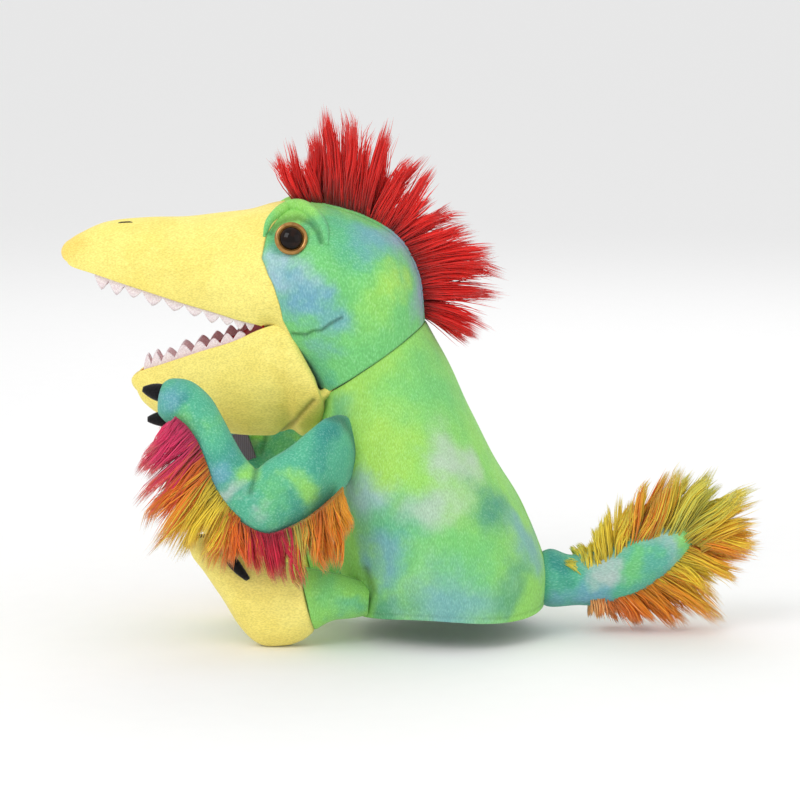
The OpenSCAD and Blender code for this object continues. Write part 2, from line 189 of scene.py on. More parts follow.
class Tree:
    """A material's node tree, built up node by node."""

    def __init__(self, name: str) -> None:
        """Makes an empty material.

        Args:
            name: The material's name.
        """
        self.material = bpy.data.materials.new(name)
        self.material.use_nodes = True
        self.nodes = self.material.node_tree.nodes
        self.links = self.material.node_tree.links
        self.nodes.clear()

    def node(self, kind: str, settings: dict, inputs: dict, output: int | str = 0) -> Wire:
        """Adds a node.

        Args:
            kind: The node's type.
            settings: Its properties; "stops" gives a colour ramp's positions and colours.
            inputs: Its sockets' values or wires, by name or number.
            output: The output that is wanted.

        Returns:
            That output as a wire.
        """
        made = self.nodes.new(kind)
        for key, value in settings.items():
            if key == "stops":
                self.set_stops(made.color_ramp, value)
            else:
                setattr(made, key, value)
        for key, value in inputs.items():
            socket = made.inputs[key]
            if isinstance(value, Wire):
                self.links.new(value.socket, socket)
            elif isinstance(value, tuple) and socket.type == "RGBA":
                socket.default_value = (*value, 1)
            else:
                socket.default_value = value
        return Wire(self, made.outputs[output])

    @staticmethod
    def set_stops(ramp: bpy.types.ColorRamp, stops: Sequence[tuple[float, Colour]]) -> None:
        """Gives a colour ramp its stops.

        Args:
            ramp: The ramp.
            stops: Each stop's position and colour, in order.
        """
        while len(ramp.elements) < len(stops):
            ramp.elements.new(0.5)
        for element, (position, colour) in zip(ramp.elements, stops, strict=True):
            element.position = position
            element.color = (*colour, 1)

    def place(self) -> Wire:
        """The point's place on its piece."""
        return self.node("ShaderNodeTexCoord", {}, {}, "Object")

    def stretched(self, scale: tuple[float, float, float]) -> Wire:
        """The point's place, scaled on each axis."""
        return self.node("ShaderNodeMapping", {}, {"Vector": self.place(), "Scale": scale})

    def attribute(self, name: str) -> Wire:
        """A number kept on the mesh."""
        return self.node("ShaderNodeAttribute", {"attribute_name": name}, {}, "Fac")

    def noise(self, where: Wire, scale: float, detail: float = 2.0, output: str = "Fac") -> Wire:
        """A noise texture.

        Args:
            where: The place that it reads.
            scale: Its cells in a metre.
            detail: Its octaves.
            output: Fac for a number, Color for a vector.

        Returns:
            The noise.
        """
        inputs = {"Vector": where, "Scale": scale, "Detail": detail}
        return self.node("ShaderNodeTexNoise", {}, inputs, output)

    def mix(self, share: "Wire | float", a: "Wire | Colour", b: "Wire | Colour",
            blend: str = "MIX") -> Wire:
        """Mixes two colours.

        Args:
            share: How much of b is taken.
            a: The first colour.
            b: The second colour.
            blend: How they are mixed.

        Returns:
            The mixed colour.
        """
        settings = {"data_type": "RGBA", "blend_type": blend}
        return self.node("ShaderNodeMix", settings, {0: share, 6: a, 7: b}, 2)

    def bump(self, height: Wire, distance: float, strength: float,
             before: "Wire | None" = None) -> Wire:
        """Adds a Bump node.

        Args:
            height: The height.
            distance: The height's scale in metres.
            strength: Its strength.
            before: A normal that it adds to.

        Returns:
            The normal.
        """
        inputs = {"Height": height, "Distance": distance, "Strength": strength}
        if before is not None:
            inputs["Normal"] = before
        return self.node("ShaderNodeBump", {}, inputs)

    def surface(self, **inputs: object) -> bpy.types.Material:
        """Ends the material with a Principled shader.

        Args:
            inputs: The shader's sockets, with underscores for spaces.

        Returns:
            The material.
        """
        named = {key.replace("_", " "): value for key, value in inputs.items()}
        shader = self.node("ShaderNodeBsdfPrincipled", {}, named)
        self.node_output(shader)
        return self.material

    def node_output(self, shader: Wire) -> None:
        """Links a shader to the material's output."""
        out = self.nodes.new("ShaderNodeOutputMaterial")
        self.links.new(shader.socket, out.inputs["Surface"])


# --- finishes -----------------------------------------------------------------------------

LIME = linear(152, 220, 106)
YELLOW_GREEN = linear(176, 224, 98)
LEAF = linear(120, 204, 122)
SEA_GREEN = linear(92, 184, 148)
DEEP_TEAL = linear(60, 146, 138)
SKY = linear(116, 170, 196)
PALE_BLUE = linear(166, 198, 214)
LAVENDER = linear(148, 166, 200)
PALE_LILAC = linear(196, 206, 204)
LEMON = linear(252, 236, 132)
BUTTER = linear(244, 222, 108)
PILE_RED = linear(234, 20, 10)
HOT_PINK = linear(238, 52, 112)
CRIMSON = linear(224, 28, 66)
ORANGE = linear(248, 124, 20)
AMBER = linear(250, 172, 38)
YELLOW = linear(255, 226, 62)
PALE_ORANGE = linear(250, 190, 120)
OLIVE = linear(204, 208, 92)


@dataclass(frozen=True)
class Patch:
    """A cloud of dye: its middle, how far it reaches and its colour."""

    middle: tuple[float, float, float]
    reach: float
    colour: Colour
    strength: float = 1.0


@dataclass(frozen=True)
class Plush:
    """Short-pile plush, dyed in soft clouds, the same on the puppet's two sides, with painted shade
    darkening its seams and creases.
    """

    name: str
    base: Colour
    patches: tuple[Patch, ...] = ()
    mottle: Colour = LEAF
    mottle_share: float = 0.35
    tips: Colour = linear(206, 228, 214)
    nap: tuple[float, float, float] = (1.0, 1.0, 0.3)
    across: float = 1.0
    swirl_scale: float = 34.0
    swirl_reach: float = 0.06
    cloud_scale: float = 30.0
    pile_scale: float = 1700.0
    crush_scale: float = 150.0
    # How much painted shade darkens the plush in its seams and creases.
    seam_shade: float = 0.45

    def make(self) -> bpy.types.Material:
        """Builds the material.

        Returns:
            The material.
        """
        tree = Tree(self.name)
        place = tree.place()
        parts = tree.node("ShaderNodeSeparateXYZ", {}, {0: place}).socket.node.outputs
        x, y, z = (Wire(tree, s) for s in parts)
        side = y.math("ABSOLUTE") * self.across
        near = tree.node("ShaderNodeCombineXYZ", {}, {0: x, 1: side, 2: z})
        swirl = tree.noise(near, self.swirl_scale, 6.0, "Color")
        swirl = tree.node("ShaderNodeVectorMath", {"operation": "SUBTRACT"},
                          {0: swirl, 1: (0.5, 0.5, 0.5)})
        swirl = tree.node("ShaderNodeVectorMath", {"operation": "SCALE"},
                          {0: swirl, "Scale": self.swirl_reach})
        warped = tree.node("ShaderNodeVectorMath", {"operation": "ADD"}, {0: near, 1: swirl})
        cloud = tree.noise(warped, self.cloud_scale, 3.0).fade(0.42, 0.68)
        colour = tree.mix(cloud * self.mottle_share, self.base, self.mottle)
        for patch in self.patches:
            colour = self.dye(tree, colour, warped, patch)
        pile = tree.noise(tree.stretched(self.nap), self.pile_scale, 3.0)
        crush = tree.noise(tree.stretched(self.nap), self.crush_scale, 4.0)
        colour = tree.mix(pile.fade(0.5, 0.72) * 0.16, colour, self.tips)
        light = 0.76 + 0.2 * pile.fade(0.3, 0.66) + 0.16 * crush
        # Painted shade: the colour is darkened where the skin is pressed into a seam or crease.
        light = light * (1 - self.seam_shade * tree.attribute("seam"))
        grey = tree.node("ShaderNodeCombineColor", {}, {0: light, 1: light, 2: light})
        colour = tree.mix(1.0, colour, grey, "MULTIPLY")
        normal = tree.bump(crush, 0.0022, 0.5)
        normal = tree.bump(pile, 0.0004, 0.5, normal)
        return tree.surface(Base_Color=colour, Roughness=0.92, Normal=normal,
                            Sheen_Weight=0.2, Sheen_Roughness=0.45, Specular_IOR_Level=0.15)

    @staticmethod
    def dye(tree: Tree, colour: Wire, where: Wire, patch: Patch) -> Wire:
        """Lays a cloud of dye over a colour.

        Args:
            tree: The material's tree.
            colour: The colour so far.
            where: The point's place.
            patch: The cloud.

        Returns:
            The new colour.
        """
        middle = tuple(c * MM for c in patch.middle)
        away = tree.node("ShaderNodeVectorMath", {"operation": "DISTANCE"},
                         {0: where, 1: middle}, "Value")
        share = away.fade(patch.reach * MM * 1.1, patch.reach * MM * 0.15) * patch.strength
        return tree.mix(share, colour, patch.colour)


@dataclass(frozen=True)
class Fur:
    """Long pile whose colour runs along the trim, with painted shade darkening it towards the root.
    """

    name: str
    stops: tuple[tuple[float, Colour], ...]
    tips: Colour
    # How dark the painted shade at the root is.
    root_shade: float = 0.45

    def make(self) -> bpy.types.Material:
        """Builds the material from the pile's own attributes.

        Returns:
            The material.
        """
        tree = Tree(self.name)
        lie = tree.attribute("lie")
        run = tree.attribute("run")
        shade = tree.attribute("shade")
        colour = tree.node("ShaderNodeValToRGB", {"stops": self.stops}, {0: run})
        colour = tree.mix(lie.fade(0.65, 1.0) * 0.35, colour, self.tips)
        # Painted shade: each strand is darker towards its root, where the pile shades itself.
        light = (self.root_shade + (1 - self.root_shade) * lie.fade(0.0, 0.55)) * shade
        grey = tree.node("ShaderNodeCombineColor", {}, {0: light, 1: light, 2: light})
        colour = tree.mix(1.0, colour, grey, "MULTIPLY")
        return tree.surface(Base_Color=colour, Roughness=0.55, Specular_IOR_Level=0.35,
                            Sheen_Weight=0.2)


@dataclass(frozen=True)
class Felt:
    """Pressed felt: matt, mottled, with short stray fibres."""

    name: str
    colour: Colour
    shade: Colour
    grain: float = 900.0
    roughness: float = 0.95

    def make(self) -> bpy.types.Material:
        """Builds the material.

        Returns:
            The material.
        """
        tree = Tree(self.name)
        fibres = tree.noise(tree.place(), self.grain, 5.0)
        colour = tree.mix(fibres.fade(0.35, 0.7), self.shade, self.colour)
        normal = tree.bump(fibres, 0.0004, 0.5)
        return tree.surface(Base_Color=colour, Roughness=self.roughness, Normal=normal,
                            Sheen_Weight=0.25, Specular_IOR_Level=0.2)


@dataclass(frozen=True)
class Woven:
    """Plain-woven cloth."""

    name: str
    warp: Colour
    weft: Colour
    threads: float = 900.0

    def make(self) -> bpy.types.Material:
        """Builds the material.

        Returns:
            The material.
        """
        tree = Tree(self.name)
        settings = {"wave_type": "BANDS", "bands_direction": "X"}
        inputs = {"Vector": tree.place(), "Scale": self.threads / 6, "Distortion": 0.6}
        over = tree.node("ShaderNodeTexWave", settings, inputs, "Fac")
        under = tree.node("ShaderNodeTexWave", {**settings, "bands_direction": "Z"}, inputs, "Fac")
        cross = over.math("MAXIMUM", under)
        colour = tree.mix(over, self.weft, self.warp)
        return tree.surface(Base_Color=colour, Roughness=0.85, Sheen_Weight=0.15,
                            Normal=tree.bump(cross, 0.0002, 0.5))


@dataclass(frozen=True)
class Moulded:
    """Moulded plastic with a faint swirl in its colour and small scuffs."""

    name: str
    colour: Colour
    swirl: Colour
    metallic: float = 0.0
    roughness: float = 0.3
    coat: float = 0.0
    shine: float = 0.5

    def make(self) -> bpy.types.Material:
        """Builds the material.

        Returns:
            The material.
        """
        tree = Tree(self.name)
        flow = tree.noise(tree.place(), 240.0, 4.0)
        scuff = tree.noise(tree.stretched((1.0, 1.0, 6.0)), 700.0, 3.0).fade(0.62, 0.8)
        colour = tree.mix(flow.fade(0.4, 0.65), self.colour, self.swirl)
        return tree.surface(Base_Color=colour, Metallic=self.metallic,
                            Roughness=self.roughness + 0.12 * scuff,
                            Specular_IOR_Level=self.shine,
                            Coat_Weight=self.coat, Coat_Roughness=0.04)


@dataclass(frozen=True)
class Fluff:
    """Loose polyester wadding."""

    name: str

    def make(self) -> bpy.types.Material:
        """Builds the material.

        Returns:
            The material.
        """
        tree = Tree(self.name)
        tufts = tree.noise(tree.place(), 160.0, 6.0)
        colour = tree.mix(tufts, linear(214, 212, 206), linear(248, 247, 243))
        return tree.surface(Base_Color=colour, Roughness=1.0, Sheen_Weight=0.4,
                            Normal=tree.bump(tufts, 0.003, 0.8))


BODY_PLUSH = Plush("body_tie_dye", LIME, (
    Patch((-40, 20, 165), 40, YELLOW_GREEN),
    Patch((12, 30, 150), 38, LEAF, 0.8),
    Patch((-48, 36, 130), 26, SEA_GREEN, 0.7),
    Patch((-20, 45, 120), 40, YELLOW_GREEN, 0.8),
    Patch((28, 50, 112), 26, PALE_LILAC, 0.7),
    Patch((-30, 55, 92), 22, PALE_BLUE, 0.8),
    Patch((-10, 58, 70), 34, SEA_GREEN, 0.8),
    Patch((10, 60, 84), 24, PALE_LILAC, 0.65),
    Patch((-22, 60, 52), 24, SKY, 0.75),
    Patch((28, 60, 58), 30, LEAF, 0.9),
    Patch((46, 40, 84), 28, DEEP_TEAL, 0.8),
    Patch((64, 30, 56), 26, SKY, 0.7),
    Patch((52, 50, 36), 22, DEEP_TEAL, 0.6),
    Patch((70, 34, 22), 24, LIME, 0.8),
    Patch((20, 60, 24), 36, SKY, 0.75),
    Patch((-16, 58, 22), 26, DEEP_TEAL, 0.65),
    Patch((-40, 40, 40), 26, LIME, 0.9)))

SKULL_PLUSH = Plush("head_tie_dye", LEAF, (
    Patch((-64, 20, 262), 26, LIME),
    Patch((-38, 34, 245), 24, SEA_GREEN, 0.7),
    Patch((-20, 30, 246), 24, SKY, 0.75),
    Patch((-2, 10, 238), 26, LAVENDER, 0.9),
    Patch((4, 8, 212), 28, LAVENDER, 0.9),
    Patch((-78, 40, 222), 22, PALE_BLUE),
    Patch((-70, 42, 202), 20, SKY),
    Patch((-52, 45, 190), 18, SKY, 0.7),
    Patch((-46, 46, 214), 22, LEAF, 0.8),
    Patch((-26, 46, 206), 26, LIME, 0.9),
    Patch((-12, 44, 216), 18, YELLOW_GREEN, 0.8),
    Patch((-58, 36, 166), 16, SEA_GREEN, 0.8),
    Patch((-80, 36, 238), 14, SEA_GREEN, 0.7)), nap=(0.6, 1.0, 0.3))

ARM_PLUSH = Plush("arm_tie_dye", SEA_GREEN, (
    Patch((-142, 0, 153), 13, SKY, 0.7),
    Patch((-136, 0, 156), 9, DEEP_TEAL, 0.8),
    Patch((-124, 0, 146), 14, LEAF, 0.9),
    Patch((-116, 0, 122), 17, DEEP_TEAL, 0.55),
    Patch((-118, 0, 112), 12, SKY, 0.7),
    Patch((-98, 0, 108), 14, LIME, 0.95),
    Patch((-108, 0, 94), 13, PALE_LILAC, 0.6),
    Patch((-96, 0, 78), 13, PALE_LILAC, 0.9),
    Patch((-84, 0, 92), 14, LEAF, 0.8),
    Patch((-66, 0, 104), 15, LIME, 0.9),
    Patch((-74, 0, 86), 14, DEEP_TEAL, 0.6),
    Patch((-48, 0, 128), 17, DEEP_TEAL, 0.85),
    Patch((-44, 0, 110), 15, SEA_GREEN, 0.8)), mottle=DEEP_TEAL, nap=(0.5, 1.0, 0.5), across=0.0)

TAIL_PLUSH = Plush("tail_tie_dye", SEA_GREEN, (
    Patch((84, 0, 40), 18, DEEP_TEAL, 0.9),
    Patch((88, 0, 20), 14, SKY, 0.7),
    Patch((108, 0, 30), 15, SKY, 0.9),
    Patch((116, 0, 44), 14, PALE_LILAC, 0.8),
    Patch((134, 0, 46), 14, LEAF, 0.8),
    Patch((146, 0, 58), 15, PALE_LILAC, 0.7),
    Patch((160, 0, 60), 15, LIME, 0.9)), mottle=SKY, nap=(0.3, 1.0, 1.0), across=0.0)

THIGH_PLUSH = Plush("thigh_tie_dye", LIME, (
    Patch((-52, 0, 40), 14, LEAF, 0.8),
    Patch((-40, 0, 26), 14, SEA_GREEN, 0.7),
    Patch((-64, 0, 20), 12, YELLOW_GREEN, 0.8)), across=0.0)

LEMON_PLUSH = Plush("lemon_plush", LEMON, (
    Patch((-206, 0, 232), 22, AMBER, 0.3),
    Patch((-110, 24, 126), 34, BUTTER, 0.7),
    Patch((-66, 30, 138), 26, linear(232, 204, 84), 0.6),
    Patch((-150, 10, 214), 30, BUTTER, 0.4)), mottle=BUTTER, mottle_share=0.4,
                    tips=linear(252, 244, 186), nap=(0.4, 1.0, 0.8))

CREST_FUR = Fur("crest_pile", ((0.0, PILE_RED), (0.5, linear(240, 26, 14)), (1.0, PILE_RED)),
                linear(246, 50, 30), 0.3)
FOREARM_FUR = Fur("forearm_pile", (
    (0.0, HOT_PINK), (0.34, HOT_PINK), (0.42, ORANGE), (0.55, ORANGE), (0.64, YELLOW),
    (0.86, YELLOW), (0.95, ORANGE), (1.0, ORANGE)), PALE_ORANGE, 0.6)
ELBOW_FUR = Fur("elbow_pile", (
    (0.0, ORANGE), (0.14, ORANGE), (0.22, CRIMSON), (0.5, CRIMSON), (0.57, OLIVE),
    (0.66, AMBER), (0.76, ORANGE), (0.9, AMBER)), PALE_ORANGE, 0.55)
TAIL_TOP_FUR = Fur("tail_top_pile", (
    (0.0, OLIVE), (0.1, YELLOW), (0.34, YELLOW), (0.42, ORANGE), (0.52, YELLOW),
    (0.68, OLIVE), (0.8, YELLOW), (1.0, AMBER)), OLIVE, 0.6)
TAIL_LOW_FUR = Fur("tail_low_pile", (
    (0.0, PALE_ORANGE), (0.2, ORANGE), (0.52, AMBER), (0.6, YELLOW), (0.72, YELLOW),
    (0.86, ORANGE), (1.0, YELLOW)), PALE_ORANGE, 0.6)

RED_FELT = Felt("mouth_felt", linear(206, 10, 14), linear(158, 4, 8))
TOOTH_FELT = Felt("tooth_felt", linear(247, 238, 238), linear(226, 208, 212), 1100.0)
CLAW_FELT = Felt("claw_felt", linear(26, 24, 28), linear(8, 8, 10))
TAPE_FELT = Felt("crest_tape", linear(150, 12, 12), linear(96, 4, 6))
THREAD = Felt("nostril_thread", linear(60, 52, 48), linear(24, 20, 18), 2200.0, 0.7)
LINING = Woven("lining_cloth", linear(190, 188, 214), linear(150, 150, 186))
LABEL = Woven("label_weave", linear(120, 112, 136), linear(84, 78, 102), 1500.0)
BOARD = Felt("mouth_board", linear(214, 200, 172), linear(188, 170, 138), 400.0, 0.85)
WADDING = Fluff("wadding")
BRONZE = Moulded("iris_bronze", linear(176, 128, 62), linear(150, 104, 46), 0.6, 0.28, 0.4)
PUPIL = Moulded("pupil_black", linear(14, 6, 4), linear(34, 14, 6), 0.0, 0.1, 0.12, 0.15)
WASHER = Moulded("washer_white", linear(236, 234, 226), linear(222, 219, 208), 0.0, 0.45)


class Wardrobe:
    """Makes each finish's material once."""

    def __init__(self) -> None:
        """Starts with no materials."""
        self.made: dict[str, bpy.types.Material] = {}

    def dress(self, piece: bpy.types.Object, finish: object) -> None:
        """Gives a piece its material.

        Args:
            piece: The piece.
            finish: The finish, which has a name and makes its material.
        """
        if finish.name not in self.made:
            self.made[finish.name] = finish.make()
        piece.data.materials.clear()
        piece.data.materials.append(self.made[finish.name])


WARDROBE = Wardrobe()


# --- shapes -------------------------------------------------------------------------------


def between(rows: Sequence[Row], t: float) -> list[float]:
    """The row at a place among rows, on a smooth curve through all of them.

    Args:
        rows: Lists of numbers of equal length.
        t: The place, 0 at the first row and one more at each next row.

    Returns:
        The numbers there.
    """
    last = len(rows) - 1
    t = min(max(t, 0.0), float(last))
    i = min(int(t), last - 1)
    f = t - i
    a, b, c, d = (rows[min(max(i + k, 0), last)] for k in (-1, 0, 1, 2))
    return [0.5 * (2 * q + (r - p) * f + (2 * p - 5 * q + 4 * r - s) * f * f
                   + (3 * q - p - 3 * r + s) * f ** 3)
            for p, q, r, s in zip(a, b, c, d, strict=True)]


def table(pairs: Sequence[tuple[float, float]], at: float) -> float:
    """Reads a value between listed ones.

    Args:
        pairs: Places and values, in order.
        at: The place.

    Returns:
        The value there.
    """
    return float(np.interp(at, [p[0] for p in pairs], [p[1] for p in pairs]))


def section(row: Row, angle: float, full: float = 180.0, power: float = 1.0) -> Vector:
    """A point on a cross section, which runs from its crown down both sides to its keel.

    Args:
        row: Crown x and z, keel x and z, half width and shift across, in millimetres.
        angle: Degrees from the crown, negative on the left.
        full: The angle at which the section reaches its keel.
        power: Below 1 for a section that stays wide towards its keel.

    Returns:
        The point in metres.
    """
    crown_x, crown_z, keel_x, keel_z, half, shift = row[:6]
    span = math.hypot(crown_x - keel_x, crown_z - keel_z)
    half_high = span / (1 - math.cos(math.radians(full)))
    turn = math.radians(angle)
    down = half_high * (1 - math.cos(turn)) / span
    side = math.sin(turn)
    share = abs(side) ** (power if math.cos(turn) < 0 else 1.0)
    return Vector((crown_x + (keel_x - crown_x) * down,
                   shift + math.copysign(half * share, side),
                   crown_z + (keel_z - crown_z) * down)) * MM


def line_gap(points: Sequence[tuple[float, float]], x: float, z: float) -> float:
    """The distance in side view from a point to a broken line.

    Args:
        points: The line's x and z.
        x: The point's x.
        z: The point's z.

    Returns:
        The distance, in the same unit.
    """
    best = math.inf
    for (ax, az), (bx, bz) in zip(points, points[1:], strict=False):
        dx, dz = bx - ax, bz - az
        f = min(max(((x - ax) * dx + (z - az) * dz) / (dx * dx + dz * dz), 0.0), 1.0)
        best = min(best, math.hypot(x - ax - f * dx, z - az - f * dz))
    return best


def crease(points: Sequence[tuple[float, float]], width: float) -> Groove:
    """A groove along a line drawn in side view.

    Args:
        points: The line's x and z in millimetres.
        width: The groove's half width in millimetres.

    Returns:
        A function that gives how deep in the groove a point is, from 0 to 1.
    """
    def depth(co: Vector, _u: float, _w: float) -> float:
        """How deep in the groove the point is."""
        return math.exp(-((line_gap(points, co.x / MM, co.z / MM) / width) ** 2))
    return depth


def seam_across(at: float, width: float, depth: float = 1.0) -> Groove:
    """A seam round a skin at a share of its length.

    Args:
        at: The share of the length.
        width: The half width, as a share of the length.
        depth: How deep it is in the middle, from 0 to 1.

    Returns:
        A function that gives how deep in the seam a point is, from 0 to 1.
    """
    return lambda _co, _u, w: depth * math.exp(-(((w - at) / width) ** 2))


def seam_along(at: float, width: float) -> Groove:
    """A seam along a skin at a share of the way round it.

    Args:
        at: The share of the way round.
        width: The half width, as a share of the way round.

    Returns:
        A function that gives how deep in the seam a point is, from 0 to 1.
    """
    return lambda _co, u, _w: math.exp(-(((u - at) / width) ** 2))


@dataclass
class Skin:
    """A sewn skin laid out as a sheet of u (round) by w (along), then pressed at its seams."""

    name: str
    place: Place
    around: int
    along: int
    grooves: Sequence[Groove] = ()
    groove_depth: float = 1.1
    hollows: Sequence[Groove] = ()
    ripple: float = 0.7
    ripple_size: float = 26.0
    thick: float = 0.0
    capped: bool = False

    def build(self) -> bpy.types.Object:
        """Makes the skin's object.

        Returns:
            The object, at the origin.
        """
        bm = bmesh.new()
        bmesh.ops.create_grid(bm, x_segments=self.around, y_segments=self.along, size=0.5)
        seam = bm.verts.layers.float.new("seam")
        shares = bm.verts.layers.float_vector.new("shares")
        for v in bm.verts:
            u, w = round(v.co.x + 0.5, 5), round(v.co.y + 0.5, 5)
            v.co = self.place(u, w)
            v[shares] = (u, w, 0)
        bmesh.ops.remove_doubles(bm, verts=bm.verts, dist=WELD)
        if self.capped:
            bmesh.ops.holes_fill(bm, edges=[e for e in bm.edges if e.is_boundary])
        bmesh.ops.recalc_face_normals(bm, faces=bm.faces)
        bm.normal_update()
        moves = []
        for v in bm.verts:
            u, w, _ = v[shares]
            press = max((g(v.co, u, w) for g in self.grooves), default=0.0)
            wave = noise.noise(v.co / (self.ripple_size * MM)) * self.ripple
            wave -= sum(h(v.co, u, w) for h in self.hollows)
            # The press depth is kept as seam; the plush finish darkens by it as painted shade in
            # seams and creases.
            v[seam] = press
            moves.append(v.normal * (wave - press * self.groove_depth) * MM)
        for v, move in zip(bm.verts, moves, strict=True):
            v.co += move
        bm.verts.layers.float_vector.remove(shares)
        piece = to_object(bm, self.name)
        if self.thick:
            wall = piece.modifiers.new("cloth", "SOLIDIFY")
            wall.thickness = self.thick * MM
            wall.offset = -1
            settle(piece)
        return piece


def to_object(bm: bmesh.types.BMesh, name: str, smooth: bool = True) -> bpy.types.Object:
    """Turns a bmesh into an object of the scene.

    Args:
        bm: The bmesh, which is freed.
        name: The object's name.
        smooth: True for smooth shading.

    Returns:
        The object.
    """
    mesh = bpy.data.meshes.new(name)
    for face in bm.faces:
        face.smooth = smooth
    bm.to_mesh(mesh)
    bm.free()
    piece = bpy.data.objects.new(name, mesh)
    bpy.context.scene.collection.objects.link(piece)
    return piece


def settle(piece: bpy.types.Object) -> None:
    """Applies a piece's modifiers to its mesh.

    Args:
        piece: The piece.
    """
    graph = bpy.context.evaluated_depsgraph_get()
    mesh = bpy.data.meshes.new_from_object(piece.evaluated_get(graph))
    piece.modifiers.clear()
    piece.data = mesh


def rounded_tip(point: Vector, tip: Vector, turn: float) -> Vector:
    """Draws a point of a skin's end ring in towards a blunt tip.

    Args:
        point: The point on the ring.
        tip: The tip.
        turn: The angle turned through, a quarter turn at the tip itself.

    Returns:
        The new point.
    """
    round_in = math.sin(turn)
    flat = 0.35 * round_in + 0.65 * (1 - math.cos(turn))
    return Vector((point.x + (tip.x - point.x) * round_in,
                   point.y * (1 - flat),
                   point.z + (tip.z - point.z) * flat))


def show(piece: bpy.types.Object, finish: object, nodes: Sequence[str] = ()) -> None:
    """Dresses a finished piece, says what it stands for and reports it.

    Args:
        piece: The piece.
        finish: Its finish.
        nodes: The CAD nodes that it stands for.
    """
    WARDROBE.dress(piece, finish)
    if nodes:
        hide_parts(*nodes)
    log.info("%s: %d faces", piece.name, len(piece.data.polygons))


# --- body ---------------------------------------------------------------------------------


@dataclass
class Body:
    """The seated body: one sewn skin from the open hem up to the neck seam."""

    half: float = 63.0
    rows: tuple[Row, ...] = (
        (78, 17, -38, 17, 0.98, 0),
        (79.5, 42, -46, 43, 1, 0),
        (66.5, 73, -51, 70, 0.97, 0),
        (50, 103, -54, 96, 0.89, 0),
        (34.5, 133, -56, 118, 0.78, 0),
        (21, 161, -57, 132, 0.69, 0),
        (6.5, 189.5, -57, 146, 0.66, 0))
    bend: tuple[float, float] = (30.0, 2.0)
    neck_boxiness: float = 0.25
    hem_wave: float = 1.8

    def point(self, u: float, w: float) -> Vector:
        """The skin's point at a share of the way round and up.

        Args:
            u: The share of the way round, from the front.
            w: The share of the way up.

        Returns:
            The point.
        """
        row = between(self.rows, w * (len(self.rows) - 1))
        row[4] *= self.half
        angle = -180 + 360 * u
        place = section(row, angle, power=1 - self.neck_boxiness * w)
        sag = (1 - w) ** 6
        place.z += sag * self.hem_wave * MM * math.sin(math.radians(angle * 3) + 0.6)
        return place

    def build(self) -> None:
        """Makes the body's skin."""
        back = seam_along(0.5, 0.004)
        belly = seam_along(0.0, 0.004)
        belly_end = seam_along(1.0, 0.004)
        hem = seam_across(0.03, 0.005, 0.35)
        neck = seam_across(1.0, 0.007, 0.5)
        fold = crease(((-30, 22), (-26, 34), (-30, 46)), 3.0)
        skin = Skin("body_skin", self.point, 220, 150, (back, belly, belly_end, hem, neck, fold),
                    groove_depth=1.2, ripple=1.4, ripple_size=34.0, thick=2.6)
        piece = skin.build()
        show(piece, BODY_PLUSH, ("body_panel_left", "body_panel_right", "hem_band"))
        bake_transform(piece)


# --- head ---------------------------------------------------------------------------------


@dataclass
class HeadForm:
    """The surface of the head and beak, from the neck seam to the beak's tip."""

    rows: tuple[Row, ...] = (
        (6.5, 189.5, -57, 146, 41.6, 0),
        (4, 217, -66, 163, 44.6, 0),
        (-7, 238, -72, 171, 46, 0),
        (-29, 253, -79, 179, 45, 0),
        (-55, 261, -86, 185.5, 41.5, 0),
        (-80, 260.5, -93, 190, 37, 0),
        (-101, 255, -108, 193.5, 31.6, 0),
        (-129, 252, -132, 200.5, 26, 0),
        (-160, 250.5, -163, 210, 20.4, 0),
        (-183, 248, -187, 217.5, 15.3, 0),
        (-199, 241.5, -203, 222, 10, 0),
        (-206, 237.5, -207, 225, 6.6, 0))
    rim_angles: tuple[tuple[float, float], ...] = ((3.6, 180), (5, 140), (6, 126), (8, 122))
    front_seam: tuple[tuple[float, float], ...] = (
        (0, 4.56), (0.27, 5.0), (0.38, 5.22), (0.55, 5.25), (0.64, 4.92), (0.71, 4.35),
        (0.78, 3.3), (0.87, 1.95), (0.95, 0.65), (1, 0.1))
    neck_power: float = 0.75
    lower_power: float = 0.62
    power_rows: float = 1.5

    def point(self, t: float, side: float) -> Vector:
        """A point of the surface.

        Args:
            t: The place among the rows.
            side: From -1 at the left rim through 0 on the top to 1 at the right rim.

        Returns:
            The point.
        """
        full = table(self.rim_angles, t)
        change = min(t / self.power_rows, 1.0)
        power = self.neck_power + (self.lower_power - self.neck_power) * change
        return section(between(self.rows, t), side * full, full, power)

    def seam_at(self, side: float) -> float:
        """The place among the rows where the green skin ends on that side."""
        return table(self.front_seam, abs(side))


